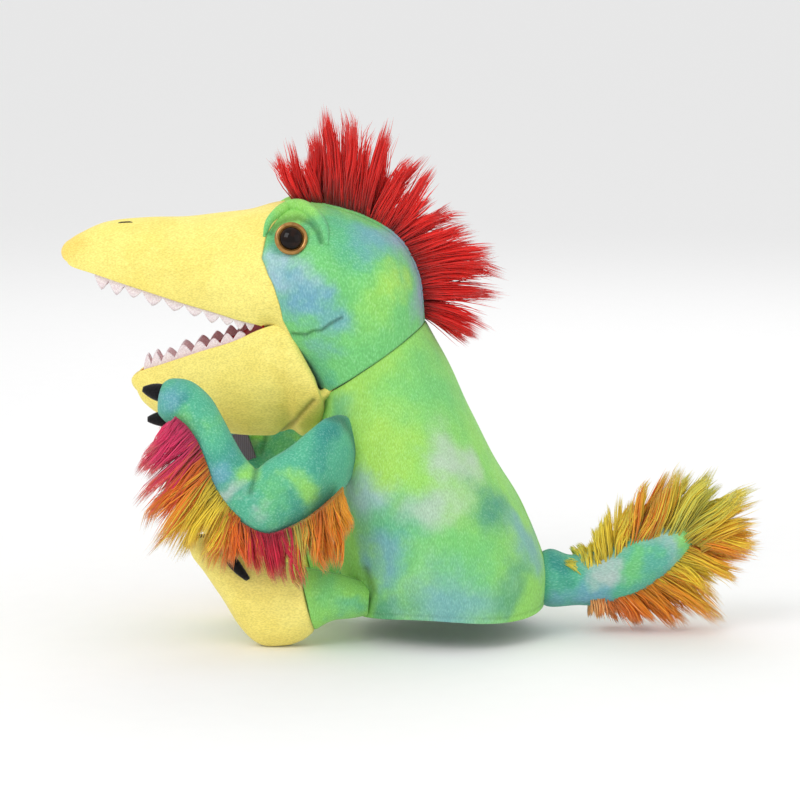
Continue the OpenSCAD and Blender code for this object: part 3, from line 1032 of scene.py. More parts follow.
@dataclass
class Head:
    """The green head, the lemon beak, and what is sewn and set on them."""

    form: HeadForm = field(default_factory=HeadForm)
    bend: tuple[float, float] = (2.0, 26.0)
    gusset_side: float = 0.085
    gusset_width: float = 0.006
    gusset_end: float = 0.82
    tip: tuple[float, float, float] = (-211.0, 0.0, 230.5)
    tip_from: float = 0.94
    tip_run: float = 0.0638
    socket_deep: float = 2.2
    socket_reach: float = 12.5
    eye_place: tuple[float, float, float] = (-72.5, 36.0, 241.5)
    eye_turn: tuple[float, float, float] = (-74.0, 0.0, -6.0)
    eye_d: float = 19.6
    cheek_dart: tuple[tuple[float, float], ...] = (
        (-72, 185), (-64, 185), (-60, 187.5), (-55, 188), (-50, 192), (-43, 196))
    brow_wide: float = 0.8
    brow_deep: float = 0.9
    brow: tuple[tuple[float, float, float], ...] = (
        (-88.5, 242, 1.0), (-85.5, 250.5, 2.8), (-77.5, 257, 4.4), (-68, 258.5, 5.0),
        (-59.5, 254.5, 4.4), (-53.5, 247.5, 3.4), (-51.5, 238, 1.0))
    brow_fold: tuple[tuple[float, float], ...] = (
        (-85, 245), (-82, 249.5), (-76.5, 253), (-68.5, 254), (-61.5, 251), (-57, 246), (-55, 240))
    nostril: tuple[float, float] = (-176.0, 5.5)
    nostril_step: tuple[float, float] = (1.7, 0.25)
    nostril_points: int = 6
    teeth_from: float = 9.15
    teeth_rows: float = 4.0
    beside: float = 0.2
    above: float = 0.4

    def build(self) -> None:
        """Makes the head's pieces."""
        self.skull()
        self.beak()
        surface = self.hit_tree("head_skin", "beak_skin")
        for side in Side:
            self.eye(side)
            self.eyelid(side, surface)
        self.nostrils(surface)
        self.upper_teeth()

    def hit_tree(self, *names: str) -> BVHTree:
        """Joins finished skins into one tree that rays can be shot at.

        Args:
            names: The skins' names.

        Returns:
            The tree.
        """
        bm = bmesh.new()
        for name in names:
            bm.from_mesh(bpy.data.objects[name].data)
        tree = BVHTree.FromBMesh(bm)
        bm.free()
        return tree

    def socket(self, co: Vector, _u: float, _w: float) -> float:
        """How deep in the eye's shallow socket a point is."""
        x, _, z = self.eye_place
        away = math.hypot(co.x / MM - x, co.z / MM - z)
        return self.socket_deep * math.exp(-((away / self.socket_reach) ** 4))

    def skull(self) -> None:
        """Makes the green skin between the neck seam and the beak."""
        def place(u: float, w: float) -> Vector:
            """The skin's point."""
            side = 2 * u - 1
            return self.form.point(w * self.form.seam_at(side), side)

        def gusset(_co: Vector, u: float, w: float) -> float:
            """How deep in the seams beside the crown a point is."""
            gap = abs(abs(2 * u - 1) - self.gusset_side)
            return math.exp(-((gap / self.gusset_width) ** 2)) * (w < self.gusset_end)

        # Every groove here also darkens the plush as painted shade; the brow_fold crease paints the
        # shadow under the brow.
        grooves = (gusset, seam_across(1.0, 0.012, 0.3), seam_across(0.0, 0.01, 0.5),
                   crease(self.cheek_dart, 1.0), crease(self.brow_fold, 1.7))
        skin = Skin("head_skin", place, 300, 130, grooves, groove_depth=1.4,
                    hollows=(self.socket,), ripple=1.2, ripple_size=30.0, thick=2.2)
        piece = skin.build()
        nodes = ("skull_panel_left", "skull_panel_right", "head_gusset")
        show(piece, SKULL_PLUSH, nodes)
        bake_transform(piece)

    def beak(self) -> None:
        """Makes the lemon skin from the front seam to the beak's tip."""
        last = len(self.form.rows) - 1
        tip = Vector(self.tip) * MM

        def place(u: float, w: float) -> Vector:
            """The skin's point; the last stretch closes the blunt tip.

            Args:
                u: The share of the way round, from the left rim.
                w: The share of the way to the tip.

            Returns:
                The point.
            """
            side = 2 * u - 1
            start = self.form.seam_at(side)
            run = w / self.tip_from
            point = self.form.point(start + (last - start) * min(run, 1.0), side)
            if run <= 1:
                return point
            return rounded_tip(point, tip, (run - 1) / self.tip_run * math.pi / 2)

        top = seam_along(0.5, 0.003)
        skin = Skin("beak_skin", place, 180, 170, (top, seam_across(0.0, 0.006, 0.5)),
                    groove_depth=0.7, hollows=(self.socket,), ripple=1.2, ripple_size=30.0,
                    thick=2.4)
        piece = skin.build()
        show(piece, LEMON_PLUSH, ("beak_panel_left", "beak_panel_right"))
        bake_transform(piece)

    def eye_frame(self, side: Side) -> Matrix:
        """The eye's own frame, with Z straight out of the head.

        Args:
            side: The side of the head.

        Returns:
            The frame.
        """
        turn = Euler([math.radians(a) for a in self.eye_turn]).to_matrix().to_4x4()
        frame = Matrix.Translation(Vector(self.eye_place) * MM) @ turn
        mirror = Matrix.Diagonal((1, side.value, 1, 1))
        return mirror @ frame

    def eye(self, side: Side) -> None:
        """Makes an eye's iris ring and domed pupil.

        Args:
            side: The side of the head.
        """
        r = self.eye_d / 2
        pupil_r = r * 0.7
        ring = ((r - 0.4, -0.5), (r, 0.4), (r - 0.2, 1.3), (r - 0.9, 1.9), (r - 1.8, 1.9),
                (r - 2.4, 1.4), (pupil_r, 1.0), (r * 0.6, 0.9), (r * 0.55, -0.5))
        dome = [(pupil_r * math.sin(a), 0.6 + 4.2 * math.cos(a))
                for a in (math.radians(k * 7.5) for k in range(12, -1, -1))]
        iris = self.turned(f"iris_{side.word}_ring", ring, self.eye_frame(side), True)
        show(iris, BRONZE, (f"iris_{side.word}",))
        pupil = self.turned(f"eye_{side.word}_dome", [(pupil_r, -1.5), *dome],
                            self.eye_frame(side), False)
        show(pupil, PUPIL, (f"eye_{side.word}",))
        for piece in (iris, pupil):
            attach(piece, "head")

    @staticmethod
    def turned(name: str, profile: Sequence[tuple[float, float]], frame: Matrix,
               ring: bool) -> bpy.types.Object:
        """Turns a profile about its Z axis.

        Args:
            name: The object's name.
            profile: Radii and heights in millimetres.
            frame: Where the piece goes.
            ring: True if the profile's ends are joined.

        Returns:
            The object.
        """
        bm = bmesh.new()
        verts = [bm.verts.new((x * MM, 0, z * MM)) for x, z in profile]
        pairs = list(zip(verts, verts[1:], strict=False)) + ([(verts[-1], verts[0])] if ring else [])
        edges = [bm.edges.new(pair) for pair in pairs]
        bmesh.ops.spin(bm, geom=[*verts, *edges], cent=(0, 0, 0), axis=(0, 0, 1),
                       angle=math.tau, steps=64, use_merge=True)
        bmesh.ops.remove_doubles(bm, verts=bm.verts, dist=WELD)
        bmesh.ops.holes_fill(bm, edges=[e for e in bm.edges if e.is_boundary])
        bmesh.ops.transform(bm, matrix=frame, verts=bm.verts)
        bmesh.ops.recalc_face_normals(bm, faces=bm.faces)
        return to_object(bm, name)

    def eyelid(self, side: Side, surface: BVHTree) -> None:
        """Makes the folded brow over an eye.

        Args:
            side: The side of the head.
            surface: The head's surface.
        """
        def spot(t: float) -> tuple[Vector, Vector, float]:
            """Finds the head's surface under the brow.

            Args:
                t: The place among the brow's points.

            Returns:
                The point, the way out of the head there and the brow's size.
            """
            x, z, size = between(self.brow, t)
            start = Vector((x * MM, side.value * self.beside, z * MM))
            hit, normal, _, _ = surface.ray_cast(start, Vector((0, -side.value, 0)))
            if normal.y * side.value < 0:
                normal = -normal
            return hit, normal, size * MM

        steps = 48
        spots = [spot(k / steps * (len(self.brow) - 1)) for k in range(steps + 1)]

        def place(u: float, w: float) -> Vector:
            """The brow's point.

            Args:
                u: The share of the way round it.
                w: The share of the way along it.

            Returns:
                The point.
            """
            k = round(w * steps)
            hit, out, size = spots[k]
            ahead = (spots[min(k + 1, steps)][0] - spots[max(k - 1, 0)][0]).normalized()
            across = out.cross(ahead)
            turn = math.tau * u
            over = across * math.sin(turn) * size * self.brow_wide
            return hit + over + out * math.cos(turn) * size * self.brow_deep

        skin = Skin(f"eyelid_{side.word}_fold", place, 20, steps, ripple=0.2, capped=True)
        piece = skin.build()
        show(piece, SKULL_PLUSH, (f"eyelid_{side.word}",))
        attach(piece, "head")

    def nostrils(self, surface: BVHTree) -> None:
        """Makes the two short nostril stitches.

        Args:
            surface: The beak's surface.
        """
        curve = bpy.data.curves.new("nostril_threads", "CURVE")
        curve.dimensions = "3D"
        curve.bevel_depth = 0.5 * MM
        curve.bevel_resolution = 2
        curve.use_fill_caps = True
        for side in Side:
            line = curve.splines.new("POLY")
            line.points.add(self.nostril_points - 1)
            for k, point in enumerate(line.points):
                x = (self.nostril[0] + self.nostril_step[0] * k) * MM
                y = side.value * (self.nostril[1] + self.nostril_step[1] * k) * MM
                hit = surface.ray_cast(Vector((x, y, self.above)), Vector((0, 0, -1)))[0]
                sunk = 0.4 if k in (0, self.nostril_points - 1) else -0.1
                point.co = (hit.x, hit.y, hit.z - sunk * MM, 1)
        piece = curve_piece(curve, "nostril_threads")
        show(piece, THREAD, ("nostril_stitches",))
        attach(piece, "head")

    def upper_teeth(self) -> None:
        """Makes the felt teeth along both sides of the beak."""
        for side in Side:
            def rim(run: float, side: Side = side) -> Vector:
                """A point of the beak's rim, from the front tooth back."""
                return self.form.point(self.teeth_from - self.teeth_rows * run, side.value)
            row = ToothRow(f"upper_teeth_{side.word}_felt", rim, count=10, tall=8.6, up=-1,
                           side=side)
            row.build("head", f"upper_teeth_{side.word}")


def curve_piece(curve: bpy.types.Curve, name: str) -> bpy.types.Object:
    """Makes a mesh object from a curve.

    Args:
        curve: The curve, which is removed.
        name: The object's name.

    Returns:
        The object.
    """
    line = bpy.data.objects.new(name + "_line", curve)
    bpy.context.scene.collection.objects.link(line)
    graph = bpy.context.evaluated_depsgraph_get()
    mesh = bpy.data.meshes.new_from_object(line.evaluated_get(graph))
    bpy.data.objects.remove(line)
    bpy.data.curves.remove(curve)
    mesh.name = name
    for face in mesh.polygons:
        face.use_smooth = True
    piece = bpy.data.objects.new(name, mesh)
    bpy.context.scene.collection.objects.link(piece)
    return piece


@dataclass
class ToothRow:
    """A strip of felt teeth sewn inside a mouth's rim."""

    name: str
    rim: Callable[[float], Vector]
    count: int
    tall: float
    up: int
    side: Side
    columns: int = 12
    small: float = 0.55
    root: float = 2.0
    inset: float = 1.9

    def height(self, run: float) -> float:
        """The strip's height.

        Args:
            run: The share of its length.

        Returns:
            The height in millimetres.
        """
        tooth = run * self.count
        phase = abs((tooth % 1.0) - 0.5) * 2
        size = self.tall * (1 + (self.small - 1) * run)
        wobble = 0.12 * math.sin(int(min(tooth, self.count - 1)) * 2.4)
        return size * (0.16 + (0.84 + wobble) * (1 - phase ** 1.5))

    def build(self, body: str, node: str) -> None:
        """Makes the strip.

        Args:
            body: The CAD body that it rides on.
            node: The CAD node that it stands for.
        """
        def place(u: float, w: float) -> Vector:
            """The strip's point.

            Args:
                u: The share of the way along it.
                w: The share of the way up it.

            Returns:
                The point.
            """
            base = self.rim(u)
            reach = -self.root + (self.height(u) + self.root) * w
            lean = self.inset + 0.1 * max(reach, 0.0) + 0.35 * math.sin(u * self.count * 2.1)
            return base + Vector((0, -self.side.value * lean, self.up * reach)) * MM

        skin = Skin(self.name, place, self.count * self.columns, 5, ripple=0.15, ripple_size=5.0,
                    thick=1.2)
        piece = skin.build()
        show(piece, TOOTH_FELT, (node,))
        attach(piece, body)


# --- jaw and mouth ------------------------------------------------------------------------


@dataclass
class Jaw:
    """The lower jaw's lemon skin, the throat behind it, and its teeth."""

    rows: tuple[Row, ...] = (
        (-167, 147, -165.5, 158, 6.5, 0),
        (-162.5, 139, -162, 160.5, 9.5, 0),
        (-150, 131, -149, 165, 15, 0),
        (-124, 123, -127, 173, 22, 0),
        (-98, 119.5, -108, 179.5, 28, 0),
        (-82, 120, -92, 187, 31.5, 0),
        (-74, 123.5, -81, 190, 32.5, 0),
        (-67, 120, -74, 186, 34, 0),
        (-58, 124, -68, 176, 34, 0),
        (-53, 134, -60, 160, 33, 0),
        (-52, 142, -56, 151, 29, 0),
        (-44, 146, -48, 158, 28, 0))
    rim_angle: float = 122.0
    tip: tuple[float, float, float] = (-170.0, 0.0, 153.0)
    tip_share: float = 0.05
    teeth_from: float = 1.0
    teeth_rows: float = 3.45
    bend: tuple[tuple[float, float, float], ...] = ((-0.060, 0, 0.150), (-0.094, 0, 0.158))

    def point(self, t: float, side: float) -> Vector:
        """A point of the jaw's surface.

        Args:
            t: The place among the rows, from the tip.
            side: From -1 at the left rim through 0 under the chin to 1 at the right rim.

        Returns:
            The point.
        """
        return section(between(self.rows, t), side * self.rim_angle, self.rim_angle, 0.7)

    def build(self) -> None:
        """Makes the jaw's pieces."""
        last = len(self.rows) - 1
        tip = Vector(self.tip) * MM

        def place(u: float, w: float) -> Vector:
            """The skin's point; the first stretch closes the blunt tip.

            Args:
                u: The share of the way round, from the left rim.
                w: The share of the way from the tip.

            Returns:
                The point.
            """
            run = (w - self.tip_share) / (1 - self.tip_share)
            if run >= 0:
                return self.point(run * last, 2 * u - 1)
            turn = -run * (1 - self.tip_share) / self.tip_share
            return rounded_tip(self.point(0.0, 2 * u - 1), tip, turn * math.pi / 2)

        fold = crease(((-60, 145), (-67, 137), (-74, 128), (-82, 119)), 1.6)
        chin = seam_along(0.5, 0.004)
        skin = Skin("jaw_skin", place, 130, 140, (fold, chin), groove_depth=1.5, ripple=0.9,
                    ripple_size=26.0, thick=2.2)
        piece = skin.build()
        show(piece, LEMON_PLUSH,
             ("jaw_panel_left", "jaw_panel_right", "throat_gusset"))
        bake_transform(piece)
        for side in Side:
            def rim(run: float, side: Side = side) -> Vector:
                """A point of the jaw's rim, from the front tooth back."""
                return self.point(self.teeth_from + self.teeth_rows * run, side.value)
            row = ToothRow(f"lower_teeth_{side.word}_felt", rim, count=8, tall=8.2, up=1,
                           side=side, inset=3.3)
            row.build("jaw", f"lower_teeth_{side.word}")


@dataclass
class MouthLining:
    """The red felt that lines the palate, turns at the hinge and lines the jaw."""

    head: HeadForm
    jaw: Jaw
    recess: float = 5.0
    jaw_recess: float = 3.5
    inset: float = 1.4
    palate_rows: tuple[float, float] = (10.2, 5.0)
    hinge_rows: tuple[float, float] = (5.2, 4.7)
    jaw_rows: float = 4.3
    palate_end: float = 0.55
    hinge_end: float = 0.62
    hinge_bulge: float = 7.0
    bend: tuple[tuple[float, float, float], ...] = ((-0.088, 0, 0.192), (-0.088, 0, 0.183))

    def build(self) -> None:
        """Makes the lining as one sheet shaped to turn at the mouth's hinge."""
        def place(u: float, w: float) -> Vector:
            """The lining's point: the palate first, then the hinge, then the jaw.

            Args:
                u: The share of the way across, from the left.
                w: The share of the way along, from the beak's tip.

            Returns:
                The point.
            """
            side = 2 * u - 1
            arch = 0.4 + 0.9 * (1 - side * side)
            turn = (w - self.palate_end) / (self.hinge_end - self.palate_end)
            turn = min(max(turn, 0.0), 1.0)
            if turn == 0:
                first, rows = self.palate_rows
                edge = self.head.point(first - rows * (w / self.palate_end), 1.0)
            elif turn < 1:
                top = self.head.point(self.hinge_rows[0], 1.0)
                low = self.jaw.point(self.hinge_rows[1], 1.0)
                edge = top.lerp(low, turn)
                edge.x += self.hinge_bulge * MM * math.sin(turn * math.pi)
            else:
                run = (w - self.hinge_end) / (1 - self.hinge_end)
                edge = self.jaw.point(self.hinge_rows[1] - self.jaw_rows * run, 1.0)
            lift = ((1 - turn) * self.recess - turn * self.jaw_recess) * arch
            return Vector((edge.x, side * (edge.y - self.inset * MM), edge.z + lift * MM))

        skin = Skin("mouth_lining", place, 36, 150, ripple=0.3, ripple_size=14.0, thick=1.0)
        piece = skin.build()
        show(piece, RED_FELT, ("palate_lining", "jaw_lining"))
        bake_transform(piece)


# --- stuffed limbs ------------------------------------------------------------------------


@dataclass
class Stuffed:
    """A stuffed limb: a sewn skin round wadding, closed at both ends."""

    name: str
    rows: Sequence[Row]
    half: float
    out: float
    side: Side
    body: str
    finish: Plush
    slot: Slot
    nodes: Sequence[str]
    grooves: Sequence[Groove] = ()
    around: int = 72
    along: int = 110
    first: float = 0.0
    last: float = 1.0
    fill: float = 0.75
    ripple: float = 1.0
    tuck: tuple[float, float] = (0.0, 0.0)
    closes: tuple[float, float] = (0.03, 0.06)
    lowest: tuple[float, float] = (0.25, 0.1)

    def place(self, u: float, w: float) -> Vector:
        """The skin's point, with its ends drawn in and its underside flat on the floor.

        Args:
            u: The share of the way round.
            w: The share of the way along.

        Returns:
            The point.
        """
        top = len(self.rows) - 1
        share = self.first + (self.last - self.first) * w
        row = between(self.rows, share * top)
        row[4] *= self.half
        row[5] = self.side.value * (row[5] + self.out)
        edges = (min(w / self.closes[0], 1.0), min((1 - w) / self.closes[1], 1.0))
        draw = min(tuck + (1 - tuck) * math.sqrt(1 - (1 - edge) ** 2)
                   for tuck, edge in zip(self.tuck, edges, strict=True))
        point = section(row, 360 * u - 180)
        middle = Vector(((row[0] + row[2]) / 2, row[5], (row[1] + row[3]) / 2)) * MM
        point = middle + (point - middle) * draw
        point.z = max(point.z, self.lowest[0] * MM)
        return point

    def build(self) -> bpy.types.Object:
        """Makes the limb.

        Returns:
            The limb's object.
        """
        seams = (seam_along(0.0, 0.008), seam_along(1.0, 0.008), seam_along(0.5, 0.008))
        skin = Skin(self.name, self.place, self.around, self.along, (*seams, *self.grooves),
                    groove_depth=0.9, ripple=self.ripple, ripple_size=20.0, capped=True)
        piece = skin.build()
        for v in piece.data.vertices:
            v.co.z = max(v.co.z, self.lowest[1] * MM)
        show(piece, self.finish, self.nodes)
        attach(piece, self.body)
        return piece


@dataclass
class Arm:
    """A bent, stuffed arm with two felt claws."""

    side: Side
    out: float = 71.0
    half: float = 13.0
    rows: tuple[Row, ...] = (
        (-28, 126, -27, 102, 0.8, -52),
        (-36, 134, -33.5, 106, 1.0, -40),
        (-44, 139.5, -40, 97, 1.15, -26),
        (-52, 138.5, -48, 88.5, 1.14, -16),
        (-62, 132, -58, 81, 1.08, -9),
        (-73, 123.5, -70, 74.5, 1.04, -4),
        (-84, 116.5, -84, 70.4, 1, -1),
        (-92, 112, -98, 76, 1, 0),
        (-99, 118.5, -111, 87.5, 1, 0),
        (-106, 130.5, -119.5, 101, 1, -1),
        (-112, 141.5, -125.5, 117.5, 0.98, -2),
        (-119, 153, -133.5, 131.5, 0.95, -4),
        (-129, 161.5, -141, 136, 0.9, -5),
        (-140, 163.5, -147.5, 142, 0.8, -6),
        (-148.5, 161, -149.5, 149, 0.55, -6))

    def build(self) -> None:
        """Makes the arm and its claws."""
        body = f"arm_{self.side.word}"
        elbow = crease(((-92, 112), (-93, 106), (-95, 100)), 1.6)
        # The shoulder crease also darkens the plush as painted shade where the arm meets the body.
        shoulder = crease(((-50, 140), (-42, 137), (-36.5, 129), (-33.5, 118), (-34, 106)), 2.4)
        limb = Stuffed(f"arm_{self.side.word}_stuffed", self.rows, self.half, self.out, self.side,
                       body, ARM_PLUSH, Slot.TIE_DYE,
                       (f"arm_skin_{self.side.word}", f"arm_wadding_{self.side.word}"),
                       (elbow, shoulder))
        limb.build()
        claws = [Claw((-145.5, self.out - 6, 154.5), -14.0, 12.5, 5.2, 0.4),
                 Claw((-142.5, self.out - 5, 140.0), 0.0, 12.5, 4.6, 0.4)]
        claw_set(f"hand_claws_{self.side.word}_felt", claws, self.side, body,
                 f"hand_claws_{self.side.word}")


@dataclass(frozen=True)
class Claw:
    """A pointed felt claw: where its root is, how far its tip dips, its length and radius."""

    root: tuple[float, float, float]
    dip: float
    length: float
    radius: float
    hook: float = 2.2
    tip: float = 0.7
    fullness: float = 1.1
    flatness: float = 0.85

    def add(self, bm: bmesh.types.BMesh, side: Side) -> None:
        """Adds the claw to a bmesh.

        Args:
            bm: The bmesh.
            side: The side of the puppet.
        """
        frame = Matrix.Translation(Vector(self.root)) @ Matrix.Rotation(
            math.radians(-90 - self.dip), 4, "Y")
        before = len(bm.verts)
        made = bmesh.ops.create_cone(bm, cap_ends=True, segments=18, radius1=self.radius,
                                     radius2=self.tip, depth=self.length)["verts"]
        sides = {e for v in made for e in v.link_edges
                 if abs(e.verts[0].co.z - e.verts[1].co.z) > self.length / 2}
        bmesh.ops.subdivide_edges(bm, edges=list(sides), cuts=6)
        for v in list(bm.verts)[before:]:
            share = v.co.z / self.length + 0.5
            swell = 1 + self.fullness * share
            v.co.x = v.co.x * swell - self.hook * share * share
            v.co.y *= swell * self.flatness
            v.co.z += self.length / 2
            v.co = frame @ v.co
            v.co = Vector((v.co.x, side.value * v.co.y, v.co.z)) * MM


def claw_set(name: str, claws: Sequence[Claw], side: Side, body: str, node: str) -> None:
    """Makes a group of claws as one piece.

    Args:
        name: The piece's name.
        claws: The claws, given for the right side.
        side: The side of the puppet.
        body: The CAD body that they ride on.
        node: The CAD node that they stand for.
    """
    bm = bmesh.new()
    for claw in claws:
        claw.add(bm, side)
    bmesh.ops.recalc_face_normals(bm, faces=bm.faces)
    piece = to_object(bm, name)
    show(piece, CLAW_FELT, (node,))
    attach(piece, body)


@dataclass
class Leg:
    """A green thigh, a lemon foot and three felt claws."""

    side: Side
    out: float = 42.0
    half: float = 15.0
    split: float = 3.2 / 11
    rows: tuple[Row, ...] = (
        (-26, 36, -28, 17, 0.7, -9),
        (-37, 40, -38, 16, 0.9, -4),
        (-50, 44.5, -48.5, 15.5, 1, 0),
        (-66, 48, -57.5, 11, 1, 0),
        (-75, 50, -67, 3.6, 1, 0),
        (-84, 52.5, -78, 0.3, 1.02, 0),
        (-93, 55, -92.5, 1.6, 1.02, 0),
        (-102, 59, -105, 14, 1, 0),
        (-110, 62.5, -115, 31, 0.97, 0),
        (-118, 66, -124, 44, 0.9, 0),
        (-125, 67.5, -131, 53, 0.7, 0),
        (-130, 66, -133.5, 59, 0.4, 0))

    def build(self) -> None:
        """Makes the leg's pieces."""
        word = self.side.word
        body = f"leg_{word}"
        ankle = seam_across(0.0, 0.015, 0.5)
        thigh = Stuffed(f"thigh_{word}_stuffed", self.rows, self.half, self.out, self.side, body,
                        THIGH_PLUSH, Slot.TIE_DYE, (f"thigh_skin_{word}", f"leg_wadding_{word}"),
                        around=60, along=50, last=self.split, ripple=0.6, tuck=(0.0, 0.94))
        thigh.build()
        foot = Stuffed(f"foot_{word}_stuffed", self.rows, self.half * 1.01, self.out, self.side,
                       body, LEMON_PLUSH, Slot.LEMON, (f"foot_skin_{word}",), (ankle,),
                       around=72, along=90, first=self.split, ripple=0.8, tuck=(0.96, 0.0))
        foot.build()
        claws = [Claw((-128, self.out - 8, 60), -12.0, 9, 3.4),
                 Claw((-122, self.out + 3, 63.5), -30.0, 9, 3.4),
                 Claw((-110, self.out + 14.5, 58), 122.0, 19, 3.4)]
        claw_set(f"foot_claws_{word}_felt", claws, self.side, body, f"foot_claws_{word}")


@dataclass
class Tail:
    """The stuffed tail."""

    half: float = 18.0
    rows: tuple[Row, ...] = (
        (72, 20, 72, 44, 0.67, 0),
        (78, 15.5, 78, 49, 0.9, 0),
        (84, 14.5, 84, 50, 0.96, 0),
        (97, 15.5, 95, 46, 0.87, 0),
        (113, 16.5, 109, 50, 0.92, 0),
        (133, 20.5, 125, 60, 1, 0),
        (150, 31, 141, 68, 0.97, 0),
        (164, 44, 157, 72, 0.83, 0),
        (174, 57, 170, 71, 0.45, 0))

    def build(self) -> None:
        """Makes the tail."""
        root = seam_across(0.09, 0.012)
        Stuffed("tail_stuffed", self.rows, self.half, 0.0, Side.RIGHT, "tail", TAIL_PLUSH,
                Slot.TIE_DYE, ("tail_skin", "tail_wadding"), (root,), around=80,
                along=110).build()


# --- fur ----------------------------------------------------------------------------------


class Wisp:
    """A lock of pile: strands that lie, end and curl together."""

    def __init__(self, rng: random.Random, run: float) -> None:
        """Chooses the lock's place, length and curl.

        Args:
            rng: The source of chance.
            run: Its place along the trim, before it is shifted a little.
        """
        self.run = min(max(run + rng.gauss(0, 0.012), 0.0), 1.0)
        self.across = rng.uniform(-1, 1)
        self.reach = rng.choice((0.62, 0.78, 0.88, 0.96, 1.0))
        self.phase = rng.uniform(0, math.tau)
        self.lean = Vector((rng.gauss(0, 1), rng.gauss(0, 1), rng.gauss(0, 1))).normalized()


